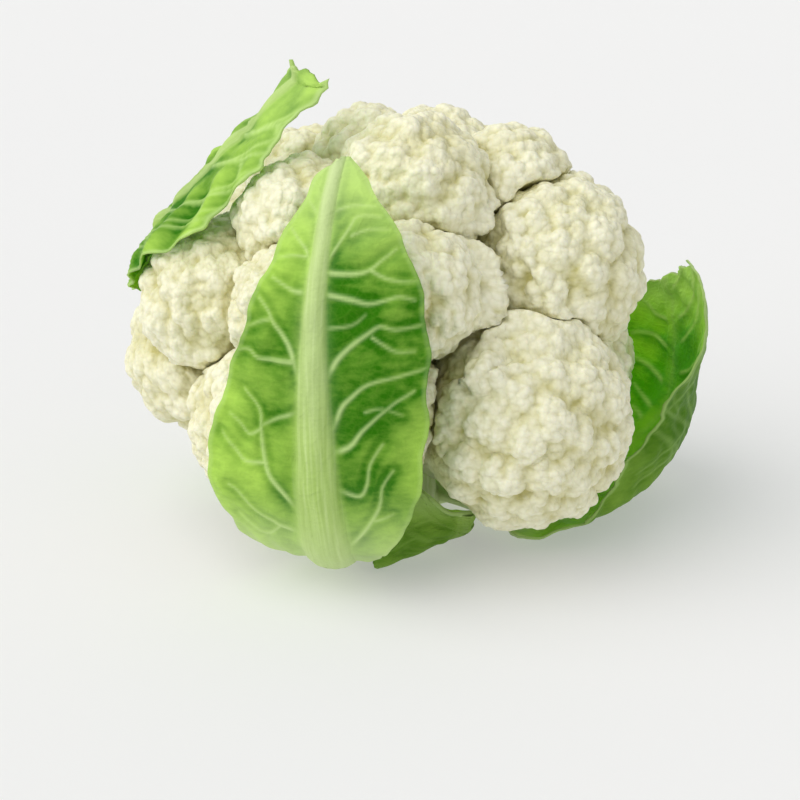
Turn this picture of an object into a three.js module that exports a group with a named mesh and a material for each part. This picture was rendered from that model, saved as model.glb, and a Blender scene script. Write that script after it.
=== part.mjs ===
// Cauliflower head with its wrapper leaves, standing on the cut stalk.
// Millimetres, +Z up. The origin is the centre of the cut stalk face.
//
// A floret is star-shaped about the centre of its cap: every direction has one
// radius, the larger of the bud lumps, the core and the branch that funnels down
// to the stalk. Planes between neighbours trim that radius, so no two florets and
// no floret and the stalk can touch. A leaf is a sheet along its midrib, lifted
// clear of every floret it lies on.
import * as THREE from "three";
import { ConvexHull } from "three/addons/math/ConvexHull.js";

// ---- driving dimensions -----------------------------------------------------

const GAP = 0.3;                        // clearance between neighbouring pieces
const HEART = [6, 0, 70];               // middle of the curd
const LUMP = {
  spacing: 16,                          // between bud clusters on a cap
  radius: 12,                           // rounding of one cluster
  vary: 1.6,                            // how far that rounding varies
  sink: 1.6,                            // how far a cluster may sit below the cap
  core: 5,                              // depth of the clefts between clusters
  cover: 108,                           // degrees of cap that carry clusters
  loose: 0.16,                          // share of the spacing a cluster may be moved by
  shoulder: 0.33,                       // share of the spacing from a top to its shoulder
};
const BRANCH = { root: 8, flare: 0.7 }; // branch radius at the stalk, and per cap radius

// Closest that two samples of a floret may lie, in degrees, and the rings of
// samples about the branch: degrees off its axis and number in the ring.
const APART = { top: 1, cleft: 5, shoulder: 7, branch: 8 };
const RINGS = [[0, 1], [10, 6], [21, 8], [36, 9], [54, 10]];

// Florets: name, azimuth, elevation and distance of the cap centre from the
// heart, cap radius, and height of the branch root on the stalk.
const FLORETS = [
  ["floret_lower_1", -40, -18, 59.5, 37.5, 30],
  ["floret_lower_2", -90, -14, 46, 23, 32],
  ["floret_lower_3", -133, -20, 56, 28, 28],
  ["floret_lower_4", -178, -9, 59, 28, 32],
  ["floret_lower_5", 135, -14, 57, 30, 30],
  ["floret_lower_6", 92, -14, 57, 30, 32],
  ["floret_lower_7", 48, -14, 57, 30, 30],
  ["floret_lower_8", 6, -14, 58, 28, 32],
  ["floret_middle_1", -14, 24, 60, 32, 50],
  ["floret_middle_2", -81, 29, 56, 24, 53],
  ["floret_middle_3", -119, 20, 55, 25, 49],
  ["floret_middle_4", -162, 15, 58, 27, 50],
  ["floret_middle_5", 144, 16, 55, 26, 49],
  ["floret_middle_6", 93, 22, 58, 29, 51],
  ["floret_middle_7", 40, 22, 58, 29, 49],
  ["floret_upper_1", -65, 66, 55, 27, 73],
  ["floret_upper_2", -3, 49, 61, 23, 67],
  ["floret_upper_3", 58, 52, 54, 25, 70],
  ["floret_upper_4", 138, 50, 53, 22, 69],
  ["floret_upper_5", -138, 50, 53, 24, 67],
  ["floret_crown", 125, 82, 51, 23, 84],
];

// Stalk profile, radius and height. It only ever bends inwards going up, so a
// plane that touches its side leaves all of it on one side.
const STALK = [[20.4, 0], [21, 0.8], [23.5, 12], [22.5, 30], [17.5, 54], [11, 77], [8, 84]];
const STALK_SIDES = 20;

// Leaves. Each row, evenly spread from base to tip, gives for the midrib its
// distance out and its height, then the blade's reach to its left and to its right
// seen from outside with the tip up, the radius the blade is bent to across, how
// much it rises per ten millimetres to the right, and the degrees the midrib has
// swung round to the right. The first row's distance is from the stalk's axis, the
// third's and later ones' from the heart's, and the second's from half way.
// Rib is the midrib's half width and fleshy its thickness, at base and tip. Wave
// and lobes are the size, pitch and phase of the margin's waves out and along.
const LEAVES = [
  {
    name: "leaf_front", azimuth: -104.5, rib: [8, 1.7], fleshy: [8, 2.2], blade: 1,
    rows: [
      [24.2, 10, 9, 9, 26, 0, 0],
      [46, 9.5, 19, 10, 44, 0, 0],
      [66, 17.5, 31, 18, 60, 0, 0],
      [76, 37, 37, 29, 70, 0, 0],
      [80, 60, 35, 33, 76, 0, 0],
      [81, 83, 27, 34, 78, 0, 0],
      [77, 106, 19, 31, 76, 0, 0],
      [68, 126, 11, 19, 70, 0, 0.5],
      [56, 142, 3.5, 4.5, 60, 0, 1.5],
    ],
    wave: [0.9, 27, 0.3], lobes: [0.6, 19, 0.2], edges: 16,
  },
  {
    name: "leaf_right", azimuth: 24, rib: [7.8, 2.6], fleshy: [7, 3], blade: 1,
    rows: [
      [25, 10, 8, 8, 26, 0, 0],
      [56, 9, 50, 16, 46, 0.5, 0],
      [87, 12, 68, 28, 50, 0.1, 0],
      [105, 25, 72, 36, 50, 0, 0],
      [109, 42, 61, 36, 50, 0, 0],
      [108, 59, 53, 34, 76, -1.5, 0],
      [104, 74, 24, 27, 90, -5.6, 0],
    ],
    wave: [1.6, 31, 0.1], lobes: [2.2, 23, 0.6], edges: 16,
  },
  {
    name: "leaf_back_left", azimuth: 150, rib: [7.2, 1.8], fleshy: [7.5, 2], blade: 1,
    rows: [
      [24.2, 10, 8, 8, 26, 0, 0],
      [45, 9, 12, 12, 45, 0, 0],
      [65, 20, 16, 11, 66, 0, 0],
      [73, 42, 18, 9, 74, 0, -2],
      [76, 66, 16, 8, 76, 0, 0],
      [77, 90, 10, 32, 66, 0, 18],
      [64, 114, 8, 33, 54, -0.5, 30],
      [44, 138, 8, 22, 44, -1, 41],
      [23, 161, 7, 14, 34, -1.2, 51],
    ],
    wave: [1.4, 29, 0.7], lobes: [1.8, 21, 0.1], edges: 16,
  },
  {
    name: "leaf_back", azimuth: 80, rib: [7.4, 3], fleshy: [7.5, 3], blade: 1,
    rows: [
      [24.2, 10, 9, 9, 26, 0, 0],
      [45, 9, 13, 13, 45, 0, 0],
      [67, 17, 24, 24, 66, 0, 0],
      [82, 36, 34, 34, 78, 0, 0],
      [88, 58, 38, 38, 84, 0, 0],
      [88, 80, 34, 35, 84, 0, 0],
      [84, 98, 26, 27, 80, 0, 0],
    ],
    wave: [1.8, 28, 0.5], lobes: [2.2, 22, 0.9], edges: 15,
  },
  {
    name: "leaf_base_front", azimuth: -48, rib: [6, 4], fleshy: [6, 2.4], blade: 1.4,
    rows: [
      [24, 9.5, 9, 8, 26, 0, 0],
      [31, 7.8, 18, 5, 50, 1.5, 0],
      [36.5, 9.5, 33, 3, 80, 2, 0],
      [39, 13, 26, 3, 90, -0.8, 0],
      [38.5, 16, 23, 2, 90, -5.2, 0],
    ],
    wave: [0.6, 17, 0.2], lobes: [0.8, 15, 0.4], edges: 9,
  },
  {
    name: "leaf_base_left", azimuth: -148, rib: [5.5, 5], fleshy: [6.5, 5], blade: 1.8,
    rows: [
      [24, 10, 7, 7, 26, 0, 0],
      [33, 9, 9.5, 9.5, 34, 0, 0],
      [42, 13, 11, 11, 42, 0, 0],
    ],
    wave: [0.4, 17, 0.6], lobes: [1, 13, 0.8], edges: 6,
  },
];
const LEAF_CLEAR = 0.9;                 // least lift of a leaf's inner face above the caps
const LEAF_EASE = 5;                    // how softly a leaf bends where it starts to be lifted
const LEAF_FOOT = 24;                   // leaves stay this far from the stalk's axis
const ROW_STEP = 21;                    // along a leaf from row to row
const FOOT_EXTRA = 1.5;                 // added to a blade's thickness at its foot
const SHOULDER_SHARE = 0.55;            // of the midrib's thickness, where the blade joins it
const WAVE_SHIFT = 0.31;                // part of a wave between a leaf's two margins
const LOBE_SHIFT = 0.37;                // the same for its lobes

const COLOURS = { curd: 0xece6c8, stalk: 0xd6dfb4, leaf: 0x86b343 };

// ---- small helpers ----------------------------------------------------------

const RAD = Math.PI / 180;
const GOLDEN_TURN = Math.PI * (3 - Math.sqrt(5));
const HEXAGONAL = Math.sqrt(3) / 2;     // area per point of a close packing, over spacing squared
const vec = (x, y, z) => new THREE.Vector3(x, y, z);
const heart = vec(...HEART);

function heading(azimuth, elevation) {
  const flat = Math.cos(elevation * RAD);
  return vec(
    flat * Math.cos(azimuth * RAD),
    flat * Math.sin(azimuth * RAD),
    Math.sin(elevation * RAD),
  );
}

// Repeatable scatter between -1 and 1.
function scatter(a, b) {
  const x = Math.sin(a * 12.9898 + b * 78.233) * 43758.5453;
  return 2 * (x - Math.floor(x)) - 1;
}

// Two unit vectors square to a given one.
function across(axis) {
  const helper = Math.abs(axis.z) < 0.9 ? vec(0, 0, 1) : vec(1, 0, 0);
  const e1 = helper.cross(axis).normalize();
  return [e1, axis.clone().cross(e1)];
}

// The direction `angle` away from `axis`, turned `spin` about it.
function tilted(axis, angle, spin) {
  const [e1, e2] = across(axis);
  return axis.clone().multiplyScalar(Math.cos(angle))
    .addScaledVector(e1, Math.sin(angle) * Math.cos(spin))
    .addScaledVector(e2, Math.sin(angle) * Math.sin(spin));
}

function makeMesh(name, points, faces, colour) {
  const geometry = new THREE.BufferGeometry();
  const flat = points.flatMap((p) => [p.x, p.y, p.z]);
  geometry.setAttribute("position", new THREE.Float32BufferAttribute(flat, 3));
  geometry.setIndex(faces.flat());
  geometry.computeVertexNormals();
  const material = new THREE.MeshStandardMaterial({ color: colour, roughness: 0.6 });
  const mesh = new THREE.Mesh(geometry, material);
  mesh.name = name;
  return mesh;
}

// Triangles over a set of unit directions, facing out.
function spread(directions) {
  const points = directions.map((d) => d.clone().multiplyScalar(100));
  const index = new Map(points.map((p, i) => [p, i]));
  const faces = new ConvexHull().setFromPoints(points).faces;
  return faces.map((face) => {
    const corners = [];
    let edge = face.edge;
    do {
      corners.push(index.get(edge.head().point));
      edge = edge.next;
    } while (edge !== face.edge);
    return corners;
  });
}

// ---- florets ----------------------------------------------------------------

// Where a branch leaves the stalk, with the outward slope of the stalk there.
function stalkAt(height, azimuth) {
  const top = STALK[STALK.length - 1];
  if (height >= top[1]) {
    return { point: vec(0, 0, top[1]), normal: vec(0, 0, 1) };
  }
  const k = STALK.findIndex((row, i) => i > 0 && height < row[1]);
  const [r0, z0] = STALK[k - 1];
  const [r1, z1] = STALK[k];
  const radius = r0 + ((r1 - r0) * (height - z0)) / (z1 - z0);
  const out = heading(azimuth, 0);
  const normal = out.clone().multiplyScalar(z1 - z0).add(vec(0, 0, r0 - r1)).normalize();
  return { point: out.multiplyScalar(radius).setZ(height), normal };
}

function makeFloret([name, azimuth, elevation, distance, radius, rootHeight], order) {
  const centre = heart.clone().addScaledVector(heading(azimuth, elevation), distance);
  const spot = stalkAt(rootHeight, Math.atan2(centre.y, centre.x) / RAD);
  const branch = spot.point.clone().sub(centre);
  const length = branch.length();
  branch.normalize();
  const out = centre.clone().sub(heart).normalize();
  const axis = out.clone().sub(branch).normalize();
  return {
    name, order, centre, radius, branch, length, axis,
    root: spot.point,
    planes: [{ normal: spot.normal.clone().negate(), point: spot.point, gap: GAP }],
    lumps: makeLumps(order, axis, radius),
  };
}

// Bud clusters on a golden spiral over the cap.
function makeLumps(order, axis, radius) {
  const { spacing, cover, vary, sink } = LUMP;
  const cap = 1 - Math.cos(cover * RAD);
  const count = Math.round((2 * Math.PI * radius ** 2 * cap) / (HEXAGONAL * spacing ** 2));
  const spinStart = scatter(order, 3) * Math.PI;
  return Array.from({ length: count }, (_, k) => {
    const polar = Math.acos(1 - (cap * (k + 0.5)) / count);
    const swing = (LUMP.loose * spacing) / radius;
    const angle = polar + swing * scatter(order, 10 + k);
    const spin = k * GOLDEN_TURN + spinStart + (swing * scatter(order, 60 + k)) / Math.sin(polar);
    const rounding = LUMP.radius + vary * scatter(order, 110 + k);
    const top = radius - sink * (0.5 + 0.5 * scatter(order, 160 + k));
    const direction = tilted(axis, angle, spin);
    return { direction, rounding, centre: direction.clone().multiplyScalar(top - rounding) };
  });
}

// A plane between two florets: it passes between the caps, nearer the smaller
// one, and between the two branch roots.
function divide(a, b) {
  const apart = b.centre.clone().sub(a.centre);
  const span = apart.length();
  const share = 0.5 + (a.radius ** 2 - b.radius ** 2) / (2 * span ** 2);
  const middle = a.centre.clone().addScaledVector(apart, share);
  const rootMiddle = a.root.clone().add(b.root).multiplyScalar(0.5);
  const along = middle.clone().sub(rootMiddle).normalize();
  const normal = apart.clone().addScaledVector(along, -apart.dot(along)).normalize();
  a.planes.push({ normal, point: middle, gap: GAP / 2 });
  b.planes.push({ normal: normal.clone().negate(), point: middle, gap: GAP / 2 });
}

// Radius of a floret's surface from its cap centre in one direction.
function reach(floret, direction) {
  const { radius, branch, length, lumps, planes, centre } = floret;
  let far = radius - LUMP.core;
  const along = direction.dot(branch);
  if (along > 0.02) {
    const flare = BRANCH.flare * radius;
    const slope = Math.sqrt(Math.max(0, 1 - along ** 2)) / along;
    const depth = (flare * length) / (length * slope + flare - BRANCH.root);
    far = Math.max(far, Math.min(depth, length) / along);
  }
  for (const lump of lumps) {
    const near = direction.dot(lump.centre);
    const inside = lump.rounding ** 2 - lump.centre.lengthSq() + near ** 2;
    if (near > 0 && inside > 0) {
      far = Math.max(far, near + Math.sqrt(inside));
    }
  }
  for (const { normal, point, gap } of planes) {
    const facing = direction.dot(normal);
    if (facing > 1e-6) {
      const room = point.clone().sub(centre).dot(normal) - gap;
      far = Math.min(far, room / facing);
    }
  }
  return far;
}

// Directions that catch the top and shoulder of every cluster, the clefts
// between clusters, and the branch.
function sampleFloret({ order, axis, branch, radius, lumps }) {
  const kept = [];
  const add = (direction, closest) => {
    const limit = Math.cos(closest * RAD);
    if (kept.every((other) => other.dot(direction) < limit)) {
      kept.push(direction);
    }
  };
  lumps.forEach((lump) => add(lump.direction, APART.top));
  const tops = lumps.map((lump) => lump.direction);
  for (const [i, j, k] of spread(tops)) {
    const cleft = tops[j].clone().sub(tops[i]).cross(tops[k].clone().sub(tops[i])).normalize();
    if (cleft.angleTo(axis) < (LUMP.cover + 8) * RAD) {
      add(cleft, APART.cleft);
    }
  }
  const shoulder = (LUMP.shoulder * LUMP.spacing) / radius;
  lumps.forEach((lump, n) => {
    for (let k = 0; k < 6; k += 1) {
      const spin = (k * Math.PI) / 3 + scatter(order, 300 + n);
      add(tilted(lump.direction, shoulder, spin), APART.shoulder);
    }
  });
  for (const [angle, count] of RINGS) {
    for (let k = 0; k < count; k += 1) {
      const direction = tilted(branch, angle * RAD, ((k + angle / 20) * 2 * Math.PI) / count);
      if (direction.angleTo(axis) > (LUMP.cover + 6) * RAD) {
        add(direction, APART.branch);
      }
    }
  }
  return kept;
}

function floretMesh(floret) {
  const directions = sampleFloret(floret);
  const points = directions.map((direction) =>
    floret.centre.clone().addScaledVector(direction, reach(floret, direction)));
  return makeMesh(floret.name, points, spread(directions), COLOURS.curd);
}

// ---- stalk ------------------------------------------------------------------

function stalkMesh() {
  const points = [];
  const faces = [];
  for (const [radius, height] of STALK) {
    for (let k = 0; k < STALK_SIDES; k += 1) {
      const turn = (2 * Math.PI * k) / STALK_SIDES;
      points.push(vec(radius * Math.cos(turn), radius * Math.sin(turn), height));
    }
  }
  for (let j = 0; j + 1 < STALK.length; j += 1) {
    for (let k = 0; k < STALK_SIDES; k += 1) {
      const a = j * STALK_SIDES + k;
      const b = j * STALK_SIDES + ((k + 1) % STALK_SIDES);
      faces.push([a, b, b + STALK_SIDES], [a, b + STALK_SIDES, a + STALK_SIDES]);
    }
  }
  const last = (STALK.length - 1) * STALK_SIDES;
  for (let k = 1; k + 1 < STALK_SIDES; k += 1) {
    faces.push([0, k + 1, k], [last, last + k, last + k + 1]);
  }
  return makeMesh("stalk", points, faces, COLOURS.stalk);
}

// ---- leaves -----------------------------------------------------------------

// A smooth curve through evenly spread rows, read at t between 0 and 1.
function rowAt(rows, t) {
  const x = Math.min(Math.max(t, 0), 1) * (rows.length - 1);
  const k = Math.min(Math.floor(x), rows.length - 2);
  const f = x - k;
  const before = rows[Math.max(k - 1, 0)];
  const after = rows[Math.min(k + 2, rows.length - 1)];
  return rows[k].map((p, i) => {
    const q = rows[k + 1][i];
    const m0 = (q - before[i]) / 2;
    const m1 = (after[i] - p) / 2;
    const c = 3 * (q - p) - 2 * m0 - m1;
    const d = 2 * (p - q) + m0 + m1;
    return p + f * (m0 + f * (c + f * d));
  });
}

// The first distance from the heart, in one direction, that clears every cap.
function clearOf(florets, direction) {
  return Math.max(0, ...florets.map(({ centre, radius }) => {
    const arm = centre.clone().sub(heart);
    const near = arm.dot(direction);
    const inside = (radius + LEAF_CLEAR) ** 2 - arm.lengthSq() + near ** 2;
    return inside > 0 && near > 0 ? near + Math.sqrt(inside) : 0;
  }));
}

// A point of a leaf's inner face: t runs from base to tip, s is millimetres to
// the right of the midrib, and side is s over the blade's reach there.
function leafPoint(leaf, florets, t, s, side) {
  const [out, height, , , bend, rise, turn] = rowAt(leaf.rows, t);
  const [size, pitch, phase] = leaf.wave;
  const along = (t * (leaf.rows.length - 1) * ROW_STEP) / pitch;
  const shift = WAVE_SHIFT * Math.sign(side);
  const wave = size * side ** 2 * Math.sin(2 * Math.PI * (along + phase + shift));
  const radial = out + wave - bend * (1 - Math.cos(s / bend));
  const aside = bend * Math.sin(s / bend);
  const facing = heading(leaf.azimuth + turn, 0);
  const lean = Math.min(1, (t * (leaf.rows.length - 1)) / 2);
  const point = vec(
    heart.x * lean + facing.x * radial - facing.y * aside,
    heart.y * lean + facing.y * radial + facing.x * aside,
    height + (rise * s) / 10,
  );
  const ray = point.clone().sub(heart);
  const distance = ray.length();
  ray.divideScalar(distance);
  const short = clearOf(florets, ray) - distance;
  const lift = (short + Math.hypot(short, LEAF_EASE)) / 2;
  return offStalk(point.addScaledVector(ray, lift));
}

// Keeps a leaf's foot just clear of the stalk.
function offStalk(point) {
  const flat = Math.hypot(point.x, point.y);
  const grow = Math.max(1, LEAF_FOOT / flat);
  return vec(point.x * grow, point.y * grow, point.z);
}

// Reach of the blade to one side, with shallow lobes along its margin.
function bladeReach(leaf, t, sign) {
  const row = rowAt(leaf.rows, t);
  const [size, pitch, phase] = leaf.lobes;
  const along = (t * (leaf.rows.length - 1) * ROW_STEP) / pitch;
  const fade = Math.min(1, 4 * t);
  const base = sign < 0 ? row[2] : row[3];
  return base + size * fade * Math.sin(2 * Math.PI * (along + phase + LOBE_SHIFT * sign));
}

function leafMesh(leaf, florets) {
  const steps = [0, 0.25, 0.5, 0.75, 1];
  const columns = [...steps.map((f) => [-1, f]).reverse(), [0, 0], ...steps.map((f) => [1, f])];
  const wide = columns.length;
  const at = (t, [sign, f]) => {
    const rib = THREE.MathUtils.lerp(leaf.rib[0], leaf.rib[1], Math.sqrt(t));
    const limit = bladeReach(leaf, t, sign || 1);
    const edge = Math.min(rib, 0.8 * limit);
    const s = sign * (edge + (limit - edge) * f);
    return { s, side: s / limit };
  };
  const inner = [];
  const outer = [];
  for (let j = 0; j <= leaf.edges; j += 1) {
    const t = j / leaf.edges;
    for (const column of columns) {
      const { s, side } = at(t, column);
      const point = leafPoint(leaf, florets, t, s, side);
      const h = 0.01;
      const up = leafPoint(leaf, florets, Math.min(t + h, 1), s, side)
        .sub(leafPoint(leaf, florets, Math.max(t - h, 0), s, side));
      const over = leafPoint(leaf, florets, t, s + 0.5, side)
        .sub(leafPoint(leaf, florets, t, s - 0.5, side));
      const normal = over.cross(up).normalize();
      const fleshy = THREE.MathUtils.lerp(leaf.fleshy[0], leaf.fleshy[1], Math.sqrt(t));
      const sole = column[0] === 0 ? 1 : (1 - column[1]) ** 2 * SHOULDER_SHARE;
      const blade = leaf.blade + (1 - t) ** 4 * FOOT_EXTRA;
      inner.push(point);
      outer.push(offStalk(point.clone().addScaledVector(normal, blade + (fleshy - blade) * sole)));
    }
  }
  const count = inner.length;
  const faces = [];
  const quad = (a, b, c, d) => faces.push([a, b, c], [a, c, d]);
  for (let j = 0; j < leaf.edges; j += 1) {
    for (let i = 0; i + 1 < wide; i += 1) {
      const a = j * wide + i;
      faces.push([a, a + wide, a + wide + 1], [a, a + wide + 1, a + 1]);
      const b = a + count;
      faces.push([b, b + wide + 1, b + wide], [b, b + 1, b + wide + 1]);
    }
    const left = j * wide;
    const right = left + wide - 1;
    quad(left, left + count, left + wide + count, left + wide);
    quad(right, right + wide, right + wide + count, right + count);
  }
  const top = leaf.edges * wide;
  for (let i = 0; i + 1 < wide; i += 1) {
    quad(i, i + 1, i + 1 + count, i + count);
    quad(top + i, top + i + count, top + i + 1 + count, top + i + 1);
  }
  return makeMesh(leaf.name, [...inner, ...outer], faces, COLOURS.leaf);
}

// ---- assembly ---------------------------------------------------------------

const florets = FLORETS.map(makeFloret);
florets.forEach((a, i) => florets.slice(i + 1).forEach((b) => divide(a, b)));

const head = new THREE.Group();
head.name = "cauliflower";
head.add(stalkMesh());
florets.forEach((floret) => head.add(floretMesh(floret)));
LEAVES.forEach((leaf) => head.add(leafMesh(leaf, florets)));

export default head;
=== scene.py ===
"""Cauliflower head: fine florets, veined leaves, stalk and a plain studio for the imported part.

The shapes follow the same rules as the solids. A floret is star-shaped about its cap's
centre; clusters, buds and grains are three sizes of rounded bump on it. A leaf is a sheet
along its midrib with raised veins. Tables and formulas are in millimetres and degrees;
meshes and the properties in the panel are in metres.
"""

from functools import partial
from types import SimpleNamespace

import bpy
import numpy as np
from mathutils import Matrix, Vector


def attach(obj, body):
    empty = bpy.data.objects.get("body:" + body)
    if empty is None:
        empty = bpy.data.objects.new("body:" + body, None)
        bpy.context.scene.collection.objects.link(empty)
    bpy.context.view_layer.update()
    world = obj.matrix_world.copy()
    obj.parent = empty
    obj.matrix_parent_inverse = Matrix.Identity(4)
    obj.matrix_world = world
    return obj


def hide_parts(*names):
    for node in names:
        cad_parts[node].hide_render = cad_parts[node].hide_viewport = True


bl_info = {
    "name": "Cauliflower Builder",
    "version": (1, 0, 0),
    "blender": (4, 5, 0),
    "location": "View3D > Sidebar > Cauliflower",
    "description": "Builds the florets, leaves, stalk and studio of a cauliflower head",
    "category": "Object",
}

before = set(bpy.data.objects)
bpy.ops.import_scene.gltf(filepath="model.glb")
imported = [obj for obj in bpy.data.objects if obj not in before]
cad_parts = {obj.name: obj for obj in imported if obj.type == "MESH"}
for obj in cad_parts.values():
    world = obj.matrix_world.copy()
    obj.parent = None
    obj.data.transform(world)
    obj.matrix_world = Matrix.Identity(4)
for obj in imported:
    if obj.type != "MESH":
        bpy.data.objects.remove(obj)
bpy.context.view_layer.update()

# ---- driving dimensions -----------------------------------------------------------

MM = 0.001
GAP = 0.3                       # clearance between neighbouring pieces
HEART = np.array([6.0, 0.0, 70.0])      # the point that the caps are placed round
GOLDEN_TURN = np.pi * (3 - np.sqrt(5))

# Clusters on a cap: their spacing, radius and its scatter, how far a top may fall short of
# the cap, how far the core ball lies under it, the cap's angle from its axis, how much
# smaller each cluster's own ball is, and the share of the spacing by which one is nudged.
LUMP = SimpleNamespace(spacing=16, radius=12, vary=1.6, sink=1.6, core=4.2, cover=108,
                       sharper=2.0, nudge=0.16)
# A branch: its radius at the root, and at the cap as a share of the cap's radius, the
# height and pitch of its low ribs, and the share of its length at which its mesh ends.
BRANCH = SimpleNamespace(root=8, flare=0.7, rib=0.35, rib_pitch=5.0, stop=0.999)
# How softly the branch, each cluster and the dome run into the rest of a floret.
SEAM = SimpleNamespace(branch=1.5, lump=0.6, dome=2.5)
# The head's smooth dome under its valleys: width of the bell that blends the caps, depth
# of the valleys, how far it draws in underneath and by which angle below, and the angles
# from a cap's axis between which it comes in.
DOME = SimpleNamespace(spread=20, depth=16, low=50, low_by=32, edge=(105, 80))
# A wall between two florets: size and length of its waves, the distances from the heart
# between which it turns, and the rounding where a floret runs into it.
WALL = SimpleNamespace(wave=1.3, pitch=13, turn=(30, 56), round=4.5)
# A floret's grid: the angle from its outward axis that holds the fine part, the share of
# the grid that this part takes, and the mean and gain of its fineness towards the front.
BALL = SimpleNamespace(front=104, share=0.88, fine=1.15, finer=0.3)
# Buds fade in between these angles from the axis, and die out where the surface faces its
# ray by less than these shares. The patterns of two florets lie apart, and so do a
# floret's buds and its grains.
BUDS = SimpleNamespace(edge=(126, 104), facing=(0.15, 0.55), apart=400, grains_apart=900)
# Painted shade in the clefts: where it starts and how deep it is full, and the shares of it
# that come from the depth, the creases between buds and those between grains.
CLEFT_SHADE = SimpleNamespace(start=1.2, full=9, deep=0.85, bud=0.24, grain=0.16)

# Name, azimuth, elevation and distance of the cap centre from the heart, cap radius,
# and height of the branch root on the stalk.
FLORETS = (
    ("floret_lower_1", -40, -18, 59.5, 37.5, 30),
    ("floret_lower_2", -90, -14, 46, 23, 32),
    ("floret_lower_3", -133, -20, 56, 28, 28),
    ("floret_lower_4", -178, -9, 59, 28, 32),
    ("floret_lower_5", 135, -14, 57, 30, 30),
    ("floret_lower_6", 92, -14, 57, 30, 32),
    ("floret_lower_7", 48, -14, 57, 30, 30),
    ("floret_lower_8", 6, -14, 58, 28, 32),
    ("floret_middle_1", -14, 24, 60, 32, 50),
    ("floret_middle_2", -81, 29, 56, 24, 53),
    ("floret_middle_3", -119, 20, 55, 25, 49),
    ("floret_middle_4", -162, 15, 58, 27, 50),
    ("floret_middle_5", 144, 16, 55, 26, 49),
    ("floret_middle_6", 93, 22, 58, 29, 51),
    ("floret_middle_7", 40, 22, 58, 29, 49),
    ("floret_upper_1", -65, 66, 55, 27, 73),
    ("floret_upper_2", -3, 49, 61, 23, 67),
    ("floret_upper_3", 58, 52, 54, 25, 70),
    ("floret_upper_4", 138, 50, 53, 22, 69),
    ("floret_upper_5", -138, 50, 53, 24, 67),
    ("floret_crown", 125, 82, 51, 23, 84),
)

# Stalk profile, radius and height.
STALK = np.array([[20.4, 0], [21, 0.8], [23.5, 12], [22.5, 30], [17.5, 54], [11, 77], [8, 84]])
CUT = SimpleNamespace(dip=0.9, ring=15.5, ring_width=1.3)   # the cut face and its woody ring
# The rind: how far it lies inside the profile, the heights of the coarse and fine waves
# that make the grooves along it, and the depth of the scars round it where leaves were cut
# off. Each scar has a height, how far it swings up and down, how often and from what
# phase, and a width.
RIND = SimpleNamespace(inset=0.35, coarse=0.11, fine=0.06, scar=0.3)
SCARS = ((7, 2.2, 2, 0.7, 0.9), (15, 2.6, 3, 2.1, 0.8))

# What a table of a leaf says; USUAL holds the values that most leaves share:
#   azimuth  where it stands          rib     half width of the midrib, base and tip
#   fleshy   thickness of the midrib  blade   thickness of the blade
#   rows     base to tip: distance out, height, reach left and right, bend radius across,
#            rise per ten millimetres to the right, and swing of the midrib to the left
#   wave, lobes     size, pitch and phase of the margin's waves in and out and along
#   notch, tear     sizes of the notches in the margin and of the torn end
#   blanch   length of the pale foot  point   how much the tip narrows
#   tones    how deep a green the left and right halves are, between light and deep; a deeper half is partly painted shade
#   rim      how pale the left and right margins are; partly a painted highlight where an edge catches the light
#   grid     lines along and across   crumple height of the finest folds
#   broad    how broad and pale the midrib is outside, and how far it lies to the left
#   marks    strength of the veins' colour, and lined that of the midrib inside
#   tip      how much lighter the tip is
#   grown    the halves, -1 left and 1 right, whose side veins grow by rule
#   dark  whether its outer face takes the duller green of a shaded copy: painted shade
USUAL = dict(blade=1.0, blanch=24, marks=1.0, point=0.0, lined=1.0, tip=1.0, grown=(-1, 1),
             dark=False)
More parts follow.
